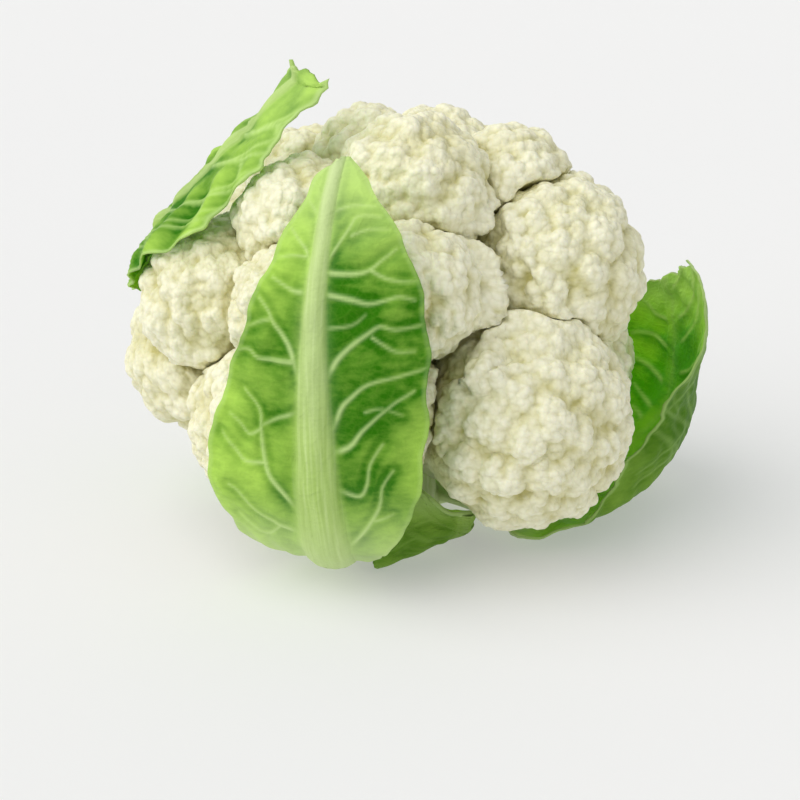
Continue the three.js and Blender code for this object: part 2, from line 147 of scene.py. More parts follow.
LEAVES = tuple(SimpleNamespace(**{**USUAL, **own}) for own in (
    dict(name="leaf_front", azimuth=-104.5, rib=(8, 1.7), fleshy=(8, 2.2),
         rows=((24.2, 10, 9, 9, 26, 0, 0), (46, 9.5, 19, 10, 44, 0, 0),
               (66, 17.5, 31, 18, 60, 0, 0), (76, 37, 37, 29, 70, 0, 0),
               (80, 60, 35, 33, 76, 0, 0), (81, 83, 27, 34, 78, 0, 0),
               (77, 106, 19, 31, 76, 0, 0), (68, 126, 11, 19, 70, 0, 0.5),
               (56, 142, 3.5, 4.5, 60, 0, 1.5)),
         wave=(0.9, 27, 0.3), lobes=(0.6, 19, 0.2), notch=0.12, tear=1.0, seed=1, blanch=50,
         tones=(0.5, 0.94), rim=(0.25, 0.2), grid=(252, 130), broad=0.55, marks=0.85,
         point=0.55, crumple=0.3, grown=()),
    dict(name="leaf_right", azimuth=24, rib=(7.8, 2.6), fleshy=(7, 3),
         rows=((25, 10, 8, 8, 26, 0, 0), (56, 9, 50, 16, 46, 0.5, 0),
               (87, 12, 68, 28, 50, 0.1, 0), (105, 25, 72, 36, 50, 0, 0),
               (109, 42, 61, 36, 50, 0, 0), (108, 59, 53, 34, 76, -1.5, 0),
               (104, 74, 24, 27, 90, -5.6, 0)),
         wave=(1.6, 31, 0.1), lobes=(2.2, 23, 0.6), notch=0.7, tear=5.0, seed=2,
         tones=(0.9, 0.65), rim=(0.95, 0.1), grid=(140, 124), broad=0.1, marks=0.9,
         crumple=0.5, lined=0.12, grown=(-1,), dark=True),
    dict(name="leaf_back_left", azimuth=150, rib=(7.2, 1.8), fleshy=(7.5, 2),
         rows=((24.2, 10, 8, 8, 26, 0, 0), (45, 9, 12, 12, 45, 0, 0),
               (65, 20, 16, 11, 66, 0, 0), (73, 42, 18, 9, 74, 0, -2),
               (76, 66, 16, 8, 76, 0, 0), (77, 90, 10, 32, 66, 0, 18),
               (64, 114, 8, 33, 54, -0.5, 30), (44, 138, 8, 22, 44, -1.0, 41),
               (23, 161, 7, 14, 34, -1.2, 51)),
         wave=(1.4, 29, 0.7), lobes=(1.8, 21, 0.1), notch=0.8, tear=4.0, seed=3,
         tones=(0.55, 0.62), rim=(0.2, 0.7), grid=(170, 90), broad=0.2, marks=0.7, point=0.3,
         crumple=1.2, tip=0.4),
    dict(name="leaf_back", azimuth=80, rib=(7.4, 3), fleshy=(7.5, 3),
         rows=((24.2, 10, 9, 9, 26, 0, 0), (45, 9, 13, 13, 45, 0, 0),
               (67, 17, 24, 24, 66, 0, 0), (82, 36, 34, 34, 78, 0, 0),
               (88, 58, 38, 38, 84, 0, 0), (88, 80, 34, 35, 84, 0, 0),
               (84, 98, 26, 27, 80, 0, 0)),
         wave=(1.8, 28, 0.5), lobes=(2.2, 22, 0.9), notch=0.8, tear=4.0, seed=4,
         tones=(0.4, 0.6), rim=(0.3, 0.3), grid=(120, 90), broad=0.2, crumple=0.8, tip=0.6),
    dict(name="leaf_base_front", azimuth=-48, rib=(6, 4), fleshy=(6, 2.4), blade=1.4,
         rows=((24, 9.5, 9, 8, 26, 0, 0), (31, 7.8, 18, 5, 50, 1.5, 0),
               (36.5, 9.5, 33, 3, 80, 2, 0), (39, 13, 26, 3, 90, -0.8, 0),
               (38.5, 20, 23, 2, 90, -5.2, 0)),
         wave=(0.6, 17, 0.2), lobes=(0.8, 15, 0.4), notch=0.3, tear=0.2, seed=5, blanch=30,
         tones=(0.5, 0.5), rim=(0.3, 0.3), grid=(90, 70), broad=0.0, marks=0.25,
         crumple=0.3, dark=True),
    dict(name="leaf_base_left", azimuth=-148, rib=(5.5, 5), fleshy=(6.5, 5), blade=1.8,
         rows=((24, 10, 7, 7, 26, 0, 0), (33, 9, 9.5, 9.5, 34, 0, 0),
               (42, 13, 11, 11, 42, 0, 0)),
         wave=(0.4, 17, 0.6), lobes=(1, 13, 0.8), notch=0.3, tear=1.0, seed=6, blanch=20,
         tones=(0.5, 0.5), rim=(0.4, 0.4), grid=(50, 50), broad=0.0, marks=0.7, crumple=0.1),
))

# Drawn side veins: the half widths at a vein's two ends, then its points, each as
# millimetres from the leaf's base and to the right of its midrib.
DRAWN_VEINS = {
    "leaf_front": (
        (1.0, 0.4, 131, 2, 131, 9.5, 132, 14.4, 135, 18.1, 138, 21.7),
        (0.6, 0.3, 132, 15.3, 130, 19.6, 129, 24.8, 129, 29.5),
        (1.0, 0.35, 125, 2, 124, 10.2, 123, 15.2, 124, 20.4, 125, 24.4, 124, 29.2),
        (0.55, 0.25, 116, 3, 117, 10.5, 120, 14.6),
        (1.15, 0.4, 101, 2.5, 107, 6.1, 111, 10, 115, 15.6, 117, 19.2, 116, 23.8, 117, 31.3),
        (0.6, 0.3, 114, 16.8, 112, 20, 110, 24, 110, 29.5),
        (1.1, 0.4, 83, 3.5, 93, 7.4, 97, 10.8, 101, 16, 103, 24.3, 105, 33),
        (1.1, 0.4, 80, 3, 82, 9.6, 87, 13.8, 92, 19.2, 96, 24.4, 99, 29.9),
        (1.0, 0.4, 70, 3, 68, 7.9, 67, 12.3, 71, 14.8, 77, 15.9, 83, 19.7),
        (1.0, 0.4, 46, 5, 52, 11, 63, 17.7, 70, 19.3, 75, 22.8),
        (0.6, 0.3, 58, 15.9, 60, 21.6),
        (0.7, 0.3, 134, 1.5, 139, 4.3, 144, 6.9, 148, 9.1, 148, 15.8),
        (0.5, 0.3, 142, 8, 144, 12.8, 144, 18.5),
        (0.5, 0.3, 149, 1.5, 151, 6.8, 151, 13.7),
        (0.4, 0.25, 93, 15, 94, 20, 92, 26),
        (0.95, 0.35, 125, -2, 125, -6.9, 126, -10.1, 128, -14.8),
        (0.9, 0.35, 129, -2, 136, -4.5, 140, -8.2, 143, -10.9),
        (0.55, 0.3, 135, -4.7, 135, -9.3, 134, -13.8),
        (1.1, 0.35, 98, -4, 109, -7.5, 113, -10.2, 116, -13.3, 119, -15.2, 122, -18.7),
        (0.5, 0.3, 117, -13.9, 116, -17.8, 114, -22.6),
        (0.9, 0.35, 106, -6.5, 106, -13.3, 106, -18.3, 108, -21.6, 107, -25.7),
        (1.15, 0.35, 58, -5, 67, -12.9, 72, -16.4, 79, -17.7, 85, -18.1, 91, -18.4, 96, -23.4),
        (0.85, 0.6, 92, -4.5, 89, -12.2, 86, -18),
        (0.6, 0.3, 85, -18.1, 83, -22.1, 86, -25.4, 88, -29),
        (0.75, 0.35, 75, -16.9, 75, -23.2, 78, -26.8, 82, -31.6),
        (1.0, 0.35, 52, -5.5, 53, -13.8, 55, -17, 58, -22.2, 65, -26.9, 67, -30),
        (0.6, 0.3, 53, -14.7, 48, -21, 52, -25.5, 56, -28.9),
        (0.5, 0.3, 146, -1.5, 149, -4.5, 152, -7.5),
    ),
    "leaf_right": (
        (1.7, 1.0, 101, 0.5, 103, 10, 108, 13.7, 115, 17.5),
        (1.7, 1.0, 88, 0.3, 90, 7.4, 92, 13.2, 91, 19.6, 89, 23.9),
        (1.5, 0.9, 71, 0.9, 75, 8.8, 77, 12.8, 78, 17.7, 79, 21.6),
        (1.3, 0.8, 60, 0.5, 63, 9.3, 65, 13.5, 68, 18.2),
        (1.2, 0.7, 54, 0.7, 57, 7.7, 59, 14),
    ),
}
ROW_STEP = 21                   # length of leaf between two rows
LEAF_CLEAR = 0.9                # least lift of a leaf's inner face above the caps
LEAF_EASE = 5                   # how softly a leaf bends where it starts to be lifted
LEAF_FOOT = 24                  # leaves stay this far from the stalk's axis
FOOT_END = (6, 26)              # lengths between which a leaf's foot turns into its blade
SIDE_SHIFT = SimpleNamespace(wave=0.31, lobes=0.37)     # phase between a leaf's two halves
NOTCHES = ((8.3, 0.2, 0.6), (4.1, 0.6, 0.4))    # pitch, phase between the halves, and share
TEARS = ((11.3, 0.31, 0.7), (4.7, 0.17, 0.3))   # pitch, phase for each seed, and share
# Grown veins: their spacing, first and last start, how far they scatter and wander, and
# the half widths of a vein and of its branches.
GROWN = SimpleNamespace(step=12, first=10, last=0.93, vary=2, wander=1.1,
                        main=(0.95, 0.35), branch=(0.6, 0.25))
# Relief of a blade: blisters between veins and how near a vein they end, crumpling and the
# ruffled margin, each with its pitch, the grooves along the midrib and how they sway, and
# the share of a vein's height that presses into the inner face.
BLISTER = SimpleNamespace(near=2.6, pitch=12)
RUFFLE = SimpleNamespace(height=0.6, pitch=13)
CRUMPLE_PITCH = 10
GROOVE = SimpleNamespace(height=0.06, per_mm=2.1, sway=0.6, sway_mm=9)
VEIN_PRESS = 0.25
# How far things move a blade's green between light, 0, and deep, 1: its margins, the step between its
# halves (partly painted shade), patches, the strips beside the midrib and veins (painted shade), folds
# (painted shade in them, painted light on their rises) and the tip.
# The foot is lighter in two steps, each with its share and where it starts and is full.
GREEN = SimpleNamespace(margin=0.5, half=0.3, patch=0.16, patch_pitch=26, shade_by_rib=0.2,
                        shade_by_vein=0.22, fold_shade=0.2, tip=0.85,
                        foot=((0.4, 0.58, 0.46), (0.3, 0.4, 0.28)))
UV_MM = 100                     # millimetres of leaf to one unit of its UV map

# Camera: where the heart stands in the square view, and the view's scale there.
VIEW = SimpleNamespace(width=800, heart_px=(385, 325), px_per_mm=3.035,
                       elevation=20, distance=1000, sensor=36)

# Lights: the direction that the main one comes from and how wide it is in degrees, and
# where the fill light stands and its size in metres.
KEY = SimpleNamespace(away=(-0.75, -0.35, 0.95), wide=70)
FILL = SimpleNamespace(place=(1.1, -0.9, 0.7), size=1.0)


# ---- number helpers ---------------------------------------------------------------

def scatter(a, b):
    """Repeatable scatter between -1 and 1 from two numbers: the tail of a large sine."""
    x = np.sin(a * 12.9898 + b * 78.233) * 43758.5453
    return 2 * (x - np.floor(x)) - 1


def heading(azimuth, elevation=0.0):
    """Unit direction at an azimuth and elevation given in degrees."""
    az, el = np.radians(azimuth), np.radians(elevation)
    return np.stack([np.cos(el) * np.cos(az), np.cos(el) * np.sin(az), np.sin(el) + 0 * az], -1)


def unit(v):
    """Vectors scaled to length one along the last axis."""
    return v / np.maximum(np.linalg.norm(v, axis=-1, keepdims=True), 1e-12)


def ease(x, low, high):
    """Smooth step from 0 at low to 1 at high, which may be the smaller of the two."""
    t = np.clip((x - low) / (high - low), 0, 1)
    return t * t * (3 - 2 * t)


def ease_cos(cosine, low, high):
    """The same step for an angle in degrees that is known by its cosine."""
    return ease(cosine, np.cos(np.radians(low)), np.cos(np.radians(high)))


def bell(x, width=1.0):
    """Bell curve: 1 at zero, and 1/e at the width."""
    return np.exp(-(x / width) ** 2)


def soft_max(a, b, width):
    """The larger of two fields, rounded where they are within width of each other."""
    return np.maximum(a, b) + np.maximum(width - np.abs(a - b), 0) ** 2 / (4 * width)


def soft_min(a, b, width):
    """The smaller of two fields, rounded off in the same way, never above either."""
    return np.minimum(a, b) - np.maximum(width - np.abs(a - b), 0) ** 2 / (4 * width)


def leave_ball(d, centre, radius):
    """Distance at which rays from the origin along unit directions leave a ball, or 0."""
    near = d @ centre
    inside = radius ** 2 - centre @ centre + near ** 2
    return np.where((inside > 0) & (near > 0), near + np.sqrt(np.maximum(inside, 0)), 0)


def cells(points, size, seed, jitter=0.8):
    """Cellular noise: distance to the nearest seed of a jittered lattice, and its label.

    Each lattice cube of the given size holds one seed, moved from its middle by a
    repeatable scatter. The distance is in cube sizes, and the label is a number between
    -1 and 1 that belongs to the nearest seed.
    """
    p = points / size
    base = np.floor(p)
    first = np.full(len(p), 9.0)
    label = np.zeros(len(p))
    for step in np.ndindex(3, 3, 3):
        cube = base + step - 1
        key = cube @ (1.0, 57.0, 113.0) + seed
        move = np.stack([scatter(key, k) for k in (1, 2, 3)], -1)
        away = np.linalg.norm(cube + 0.5 + 0.5 * jitter * move - p, axis=1)
        label = np.where(away < first, scatter(key, 4), label)
        first = np.minimum(away, first)
    return first, label


def waves(points, size, seed):
    """Smooth noise near -1 to 1: five plane waves of about the given wavelength."""
    total = np.zeros(points.shape[:-1])
    for k in range(5):
        turn = unit(scatter(seed, np.array([10, 20, 30]) + k))
        pitch = size * (1 + 0.35 * scatter(seed, 40 + k))
        total += np.sin(2 * np.pi * (points @ turn / pitch + scatter(seed, 50 + k)))
    return total / 2.6


def grid_normals(points):
    """Unit normals of a surface given on a grid, from its two central differences."""
    return unit(np.cross(np.gradient(points, axis=1), np.gradient(points, axis=0)))


# ---- mesh helpers -----------------------------------------------------------------

def grid_quads(index, flip=False):
    """Quads over a 2D array of vertex numbers."""
    a, b = index[:-1, :-1].ravel(), index[:-1, 1:].ravel()
    c, d = index[1:, 1:].ravel(), index[1:, :-1].ravel()
    quads = np.stack([a, b, c, d], 1)
    return quads[:, ::-1] if flip else quads


def make_object(name, points, quads, fields=None, uv=None):
    """Builds a smooth-shaded object from millimetre points and quads.

    A quad that has collapsed to three corners becomes a triangle, and one that has
    collapsed further is dropped. Point fields become float attributes.
    """
    same = quads == np.roll(quads, -1, axis=1)
    kept = quads[same.sum(1) <= 1]
    used = ~(kept == np.roll(kept, -1, axis=1))
    loops = kept[used]
    sizes = used.sum(1)
    mesh = bpy.data.meshes.new(name)
    mesh.vertices.add(len(points))
    mesh.vertices.foreach_set("co", (points * MM).astype(np.float32).ravel())
    mesh.loops.add(len(loops))
    mesh.loops.foreach_set("vertex_index", loops.astype(np.int32))
    mesh.polygons.add(len(sizes))
    mesh.polygons.foreach_set("loop_start", np.r_[0, np.cumsum(sizes)[:-1]].astype(np.int32))
    mesh.polygons.foreach_set("loop_total", sizes.astype(np.int32))
    mesh.polygons.foreach_set("use_smooth", np.ones(len(sizes), bool))
    mesh.update(calc_edges=True)
    for key, values in (fields or {}).items():
        layer = mesh.attributes.new(key, "FLOAT", "POINT")
        layer.data.foreach_set("value", values.astype(np.float32))
    if uv is not None:
        layer = mesh.uv_layers.new(name="UVMap")
        layer.data.foreach_set("uv", uv[loops].astype(np.float32).ravel())
    if mesh.validate(verbose=False):
        raise RuntimeError(f"{name}: its mesh needed repair")
    obj = bpy.data.objects.new(name, mesh)
    bpy.context.scene.collection.objects.link(obj)
    return obj


def dress(obj, solid, slot, *materials):
    """Gives a piece its materials and body, and hides the solid it stands for. Its slot is not used."""
    for material in materials:
        obj.data.materials.append(material)
    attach(obj, "root")
    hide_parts(solid)


# ---- materials --------------------------------------------------------------------

# What a node of a kind that is used often takes besides its inputs.
MIX = dict(settings={"data_type": "RGBA"}, out=2)
PLUS = dict(settings={"operation": "ADD"})
MINUS = dict(settings={"operation": "SUBTRACT"})
TIMES = dict(settings={"operation": "MULTIPLY"})
TIMES_PLUS = dict(settings={"operation": "MULTIPLY_ADD"})
TO_EDGE = dict(settings={"feature": "DISTANCE_TO_EDGE"})


def tone(code):
    """An sRGB hex colour as linear RGBA."""
    raw = np.array([int(code[i:i + 2], 16) for i in (1, 3, 5)]) / 255
    linear = np.where(raw <= 0.04045, raw / 12.92, ((raw + 0.055) / 1.055) ** 2.4)
    return (*linear.tolist(), 1.0)


def per_metre(size):
    """How many patterns of a size in millimetres go into a metre, as a texture's scale."""
    return 1 / (size * MM)


def node(tree, kind, *values, settings=None, out=0, stops=(), **named):
    """Adds a shader node with its settings, inputs and ramp stops; returns one output.

    Inputs come in order, or by name, or by i and their number. A socket is linked, and
    anything else is set as the input's own value.
    """
    made = tree.nodes.new("ShaderNode" + kind)
    for key, value in (settings or {}).items():
        setattr(made, key, value)
    for key, value in ({f"i{n}": value for n, value in enumerate(values)} | named).items():
        socket = made.inputs[int(key[1:])] if key[1:].isdigit() else made.inputs[key.replace("_", " ")]
        if isinstance(value, bpy.types.NodeSocket):
            tree.links.new(value, socket)
        else:
            socket.default_value = value
    for _ in stops[2:]:
        made.color_ramp.elements.new(0.5)
    for element, (position, colour) in zip(made.color_ramp.elements if stops else (), stops):
        element.position = position
        element.color = colour
    return made.outputs[out] if len(made.outputs) else None


def new_material(name):
    """An empty node material; returns it and the function that adds its nodes."""
    material = bpy.data.materials.new(name)
    material.use_nodes = True
    material.node_tree.nodes.clear()
    return material, partial(node, material.node_tree)


def curd_material(settings):
    """Curd: living white flower buds, dry and slightly waxy, so they look soft and matt.

    Bud tops are cream and the clefts between them a darker, warmer ochre from the mesh's own
    cleft field: painted shade. The hollows between grains are painted a little darker too,
    also painted shade; the branch below is pale green. Light goes 0.9 mm into the flesh.
    Groups of buds are 2 to 3 mm wide and the single buds in them 0.5 to 1 mm, drawn as grains of 2.3 and
    1.3 mm so that both show.
    """
    material, add = new_material("curd_flesh")
    place = add("TexCoord", out="Object")
    cleft_shade, branch = (add("Attribute", settings={"attribute_name": name}, out="Fac")
                     for name in ("cleft_shade", "branch"))
    patches = add("TexNoise", Vector=place, Scale=per_metre(26.3), Detail=2.0)
    speckle = add("TexNoise", Vector=place, Scale=per_metre(1.111), Detail=2.0)
    grains, specks = (add("TexVoronoi", Vector=place, Scale=per_metre(size), Randomness=0.9)
                      for size in (2.3, 1.3))
    # Painted shade: the curd darkens from the top colour to the cleft colour as the cleft field grows.
    tops = add("ValToRGB", cleft_shade, stops=(
        (0.0, (*settings.top_colour, 1.0)), (0.22, tone("#E9E6BF")), (0.5, tone("#C8C27E")),
        (1.0, (*settings.cleft_shade_colour, 1.0))))
    warmth = add("Math", patches, 0.2, **TIMES)
    warm = add("Mix", i0=warmth, i6=tops, i7=tone("#EFE8BE"), **MIX)
    # Painted shade: a little darker in the hollows between grains.
    grain_shade = add("MapRange", grains, 0.35, 0.8, 0.0, 0.22)
    fine = add("Mix", i0=grain_shade, i6=warm, i7=tone("#BDB777"), **MIX)
    stem = add("ValToRGB", patches, stops=((0.3, tone("#DDE0BA")), (0.7, tone("#EDEACC"))))
    colour = add("Mix", i0=branch, i6=fine, i7=stem, **MIX)
    relief = add("Math", speckle, 0.2, **TIMES)
    for bumps, height in ((grains, 1.6), (specks, 0.6)):
        domed = add("Math", bumps, bumps, **TIMES)
        relief = add("Math", domed, -height, relief, **TIMES_PLUS)
    bump = add("Bump", Height=relief, Strength=0.6, Distance=0.5 * MM)
    shader = add("BsdfPrincipled", Base_Color=colour, Normal=bump, Roughness=0.52,
                 Specular_IOR_Level=0.35, Subsurface_Weight=0.08,
                 Subsurface_Radius=(1.0, 0.75, 0.35), Subsurface_Scale=0.9 * MM)
    add("OutputMaterial", Surface=shader)
    return material


def leaf_material(name, light, deep, vein):
    """One face of a leaf: a waxed green blade with pale veins and midrib, softly glossy.

    The blade goes from a light to a deep green by the mesh's own tone, which holds painted
    shade as well as the leaf's own greens, broken by patches of 14 mm and wrinkles of 1.8 mm
    that run across. The net of fine veins has cells of 4.6 and 1.7 mm, about twice the real size, too
    faint to see as lines but enough to break the gloss. The midrib has fibres 1.1 mm wide and 25 mm long.
    """
    material, add = new_material(name)
    place = add("TexCoord", out="Object")
    sheet = add("UVMap", settings={"uv_map": "UVMap"})
    # The deep field holds the leaf's own greens and painted shade.
    tones, veins, rib, pale = (add("Attribute", settings={"attribute_name": key}, out="Fac")
                               for key in ("deep", "vein", "rib", "pale"))
    patches = add("TexNoise", Vector=place, Scale=per_metre(14.3), Detail=4.0)
    across = add("Mapping", Vector=sheet, Scale=(0.45, 1.0, 1.0))
    wrinkles = add("TexNoise", Vector=across, Scale=UV_MM / 1.818, Detail=2.0)
    depth = tones
    for noise, swing in ((patches, 0.14), (wrinkles, 0.07)):
        uneven = add("MapRange", noise, 0.35, 0.65, -swing, swing)
        depth = add("Math", depth, uneven, **PLUS)
    colour = add("Mix", i0=depth, i6=light, i7=deep, **MIX)
    relief = 0.0
    for size, width, show, height in ((4.6, 0.13, 0.035, 0.3), (1.7, 0.16, 0.03, 0.15)):
        net = add("TexVoronoi", Vector=sheet, Scale=UV_MM / size, **TO_EDGE)
        line = add("Math", 1.0, add("MapRange", net, 0.0, width), **MINUS)
        shown = add("Math", line, show, **TIMES)
        colour = add("Mix", i0=shown, i6=colour, i7=light, **MIX)
        relief = add("Math", line, height, relief, **TIMES_PLUS)
    for noise, height in ((patches, 0.8), (wrinkles, 1.2)):
        relief = add("Math", noise, height, relief, **TIMES_PLUS)
    along = add("Mapping", Vector=sheet, Scale=(1.0, 0.045, 1.0))
    fibres = add("TexNoise", Vector=along, Scale=UV_MM / 1.111, Detail=3.0)
    midrib = add("ValToRGB", fibres, stops=(
        (0.3, tone("#A6C268")), (0.5, tone("#B4CF7A")), (0.7, tone("#C6DD92"))))
    blanched = add("Math", pale, 0.8, **TIMES)
    for share, over in ((veins, vein), (rib, midrib), (blanched, tone("#D8E8B0"))):
        colour = add("Mix", i0=share, i6=colour, i7=over, **MIX)
    bump = add("Bump", Height=relief, Strength=0.6, Distance=0.4 * MM)
    shader = add("BsdfPrincipled", Base_Color=colour, Normal=bump, Roughness=0.5,
                 Specular_IOR_Level=0.06)
    add("OutputMaterial", Surface=shader)
    return material


def stalk_material(settings):
    """Stalk: a pale green rind with long fibres, juicy and matt, and a drier cut face.

    Fibres are 2.4 mm wide and 20 mm long on the rind. The cut face is cream pith in patches
    of 17 mm with a browner woody ring. Light goes 2 mm into the flesh.
    """
    material, add = new_material("stalk_flesh")
    place = add("TexCoord", out="Object")
    cut, ring = (add("Attribute", settings={"attribute_name": name}, out="Fac")
                 for name in ("cut", "ring"))
    stretched = add("Mapping", Vector=place, Scale=(1.0, 1.0, 0.12))
    fibres = add("TexNoise", Vector=stretched, Scale=per_metre(2.38), Detail=3.0)
    patches = add("TexNoise", Vector=place, Scale=per_metre(16.7), Detail=3.0)
    rind = add("ValToRGB", fibres, stops=(
        (0.3, (*settings.rind_colour, 1.0)), (0.7, tone("#E2E6C2"))))
    pith = add("ValToRGB", patches, stops=((0.3, tone("#E9E3C0")), (0.7, tone("#F3EFD8"))))
    face = add("Mix", i0=ring, i6=pith, i7=tone("#B9B472"), **MIX)
    colour = add("Mix", i0=cut, i6=rind, i7=face, **MIX)
    relief = add("Math", fibres, patches, **PLUS)
    bump = add("Bump", Height=relief, Strength=0.5, Distance=0.4 * MM)
    shader = add("BsdfPrincipled", Base_Color=colour, Normal=bump, Roughness=0.55,
                 Subsurface_Weight=0.15, Subsurface_Radius=(1.0, 0.9, 0.4),
                 Subsurface_Scale=2.0 * MM)
    add("OutputMaterial", Surface=shader)
    return material


def floor_material(settings):
    """Studio floor: cast acrylic, matt, with a faint glow of its own: painted light from below, so shadows
    stay pale.
    """
    material, add = new_material("studio_acrylic")
    place = add("TexCoord", out="Object")
    mottle = add("TexNoise", Vector=place, Scale=per_metre(333.3), Detail=2.0)
    share = add("Math", mottle, 0.03, **TIMES)
    colour = add("Mix", i0=share, i6=(*settings.floor_colour, 1.0), i7=tone("#FFFFFF"), **MIX)
    # Painted light: the floor glows a little.
    shader = add("BsdfPrincipled", Base_Color=colour, Roughness=0.9,
                 Specular_IOR_Level=0.1, Emission_Color=tone("#FFFFFF"), Emission_Strength=0.3)
    add("OutputMaterial", Surface=shader)
    return material


# ---- florets ----------------------------------------------------------------------

def stalk_at(height, azimuth):
    """Point on the stalk's side at a height, and the stalk's outward slope there."""
    if height >= STALK[-1, 1]:
        return np.array([0, 0, STALK[-1, 1]]), np.array([0.0, 0.0, 1.0])
    k = int(np.searchsorted(STALK[:, 1], height, side="right"))
    (r0, z0), (r1, z1) = STALK[k - 1], STALK[k]
    radius = r0 + (r1 - r0) * (height - z0) / (z1 - z0)
    out = heading(azimuth)
    point = out * radius + (0, 0, height)
    return point, unit(out * (z1 - z0) + np.array([0, 0, r0 - r1]))


def tilted(axis, angle, spin):
    """Directions at an angle from an axis, turned by spin about it."""
    helper = np.array([0, 0, 1.0]) if abs(axis[2]) < 0.9 else np.array([1.0, 0, 0])
    e1 = unit(np.cross(helper, axis))
    e2 = np.cross(axis, e1)
    side = np.cos(spin)[..., None] * e1 + np.sin(spin)[..., None] * e2
    return np.cos(angle)[..., None] * axis + np.sin(angle)[..., None] * side


def plan_floret(row, order):
    """Works out one floret's centre, axes, clusters and the plane that keeps it off the stalk.

    Clusters sit on a golden spiral over the cap, as many as fill its area in a hexagonal
    pattern, each nudged by a repeatable scatter. Each is a ball whose top reaches nearly
    to the cap's radius.
    """
    name, azimuth, elevation, distance, radius, root_height = row
    centre = HEART + distance * heading(azimuth, elevation)
    root, slope = stalk_at(root_height, np.degrees(np.arctan2(centre[1], centre[0])))
    length = np.linalg.norm(root - centre)
    branch = unit(root - centre)
    axis = unit(unit(centre - HEART) - branch)
    cap = 1 - np.cos(np.radians(LUMP.cover))
    count = int(np.floor(2 * np.pi * radius ** 2 * cap / (0.866 * LUMP.spacing ** 2) + 0.5))
    k = np.arange(count)
    polar = np.arccos(1 - cap * (k + 0.5) / count)
    swing = LUMP.nudge * LUMP.spacing / radius
    angle = polar + swing * scatter(order, 10 + k)
    spin = k * GOLDEN_TURN + scatter(order, 3) * np.pi + swing * scatter(order, 60 + k) / np.sin(polar)
    rounding = LUMP.radius + LUMP.vary * scatter(order, 110 + k) - LUMP.sharper
    top = radius - LUMP.sink * (0.5 + 0.5 * scatter(order, 160 + k))
    lumps = tilted(axis, angle, spin) * (top - rounding)[:, None]
    return SimpleNamespace(name=name, order=order, centre=centre, radius=radius, root=root,
                           branch=branch, length=length, axis=axis, lumps=lumps,
                           rounding=rounding, walls=[(-slope, -slope, root, GAP, 0)])


def divide(a, b):
    """Puts a wall between two florets, given by its normals near the stalk and out at the caps.

    Near the stalk the wall holds the line from between the roots to between the caps. Out
    at the caps it is the plane through the circle in which the two caps' spheres meet. The
    last two numbers are its distance and the sign of its waves, opposite on its two sides.
    """
    apart = b.centre - a.centre
    share = 0.5 + (a.radius ** 2 - b.radius ** 2) / (2 * apart @ apart)
    middle = a.centre + share * apart
    along = unit(middle - (a.root + b.root) / 2)
    inner = unit(apart - (apart @ along) * along)
    outer = unit(apart)
    a.walls.append((inner, outer, middle, GAP / 2, 1))
    b.walls.append((-inner, -outer, middle, GAP / 2, -1))


def plan_head():
    """Plans every floret and puts a dividing wall between each two."""
    florets = [plan_floret(row, order) for order, row in enumerate(FLORETS)]
    for i, a in enumerate(florets):
        for b in florets[i + 1:]:
            divide(a, b)
    return florets


def wall_normal(wall, points):
    """The wall's normal at each point: its inner one turns into its outer one on the way out."""
    share = ease(np.linalg.norm(points - HEART, axis=-1), *WALL.turn)[..., None]
    return (1 - share) * wall[0] + share * wall[1]


def wall_margin(wall, points):
    """How far short of the wall's middle a floret stays: half the gap and the wall's own waves."""
    return wall[3] + wall[4] * WALL.wave * waves(points, WALL.pitch, 5)


def keep_inside(floret, points):
    """Moves points that are past a wall back onto it, along the wall's normal."""
    for wall in floret.walls:
        normal = wall_normal(wall, points)
        past = np.sum((points - wall[2]) * normal, axis=-1) + wall_margin(wall, points)
        points = points - np.maximum(past, 0)[..., None] * normal / np.sum(normal ** 2, -1, keepdims=True)
    return points


def dome_radius(florets, direction):
    """The head's smoothed radius from the heart, less the depth of its valleys.

    It is the mean of how far the caps reach, each weighted by a bell curve of the angle to
    it. Below the head's widest part it draws in, so the underside stays open.
    """
    centres = np.array([floret.centre - HEART for floret in florets])
    tops = np.linalg.norm(centres, axis=1) + [floret.radius for floret in florets]
    apart = np.degrees(np.arccos(np.clip(direction @ unit(centres).T, -1, 1)))
    weight = bell(apart, DOME.spread)
    mean = np.sum(weight * tops, axis=1) / np.sum(weight, axis=1)
    below = np.degrees(np.arcsin(np.clip(-direction[:, 2], -1, 1)))
    return mean - DOME.depth - DOME.low * ease(below, 0, DOME.low_by)


def valley_reach(florets, floret, d, far):
    """Distance along each ray from a cap's centre to the head's dome, found in four steps."""
    arm = floret.centre - HEART
    for _ in range(4):
        dome = dome_radius(florets, unit(arm + d * far[:, None]))
        near = d @ arm
        far = np.sqrt(np.maximum(near ** 2 + dome ** 2 - arm @ arm, 1)) - near
    return far


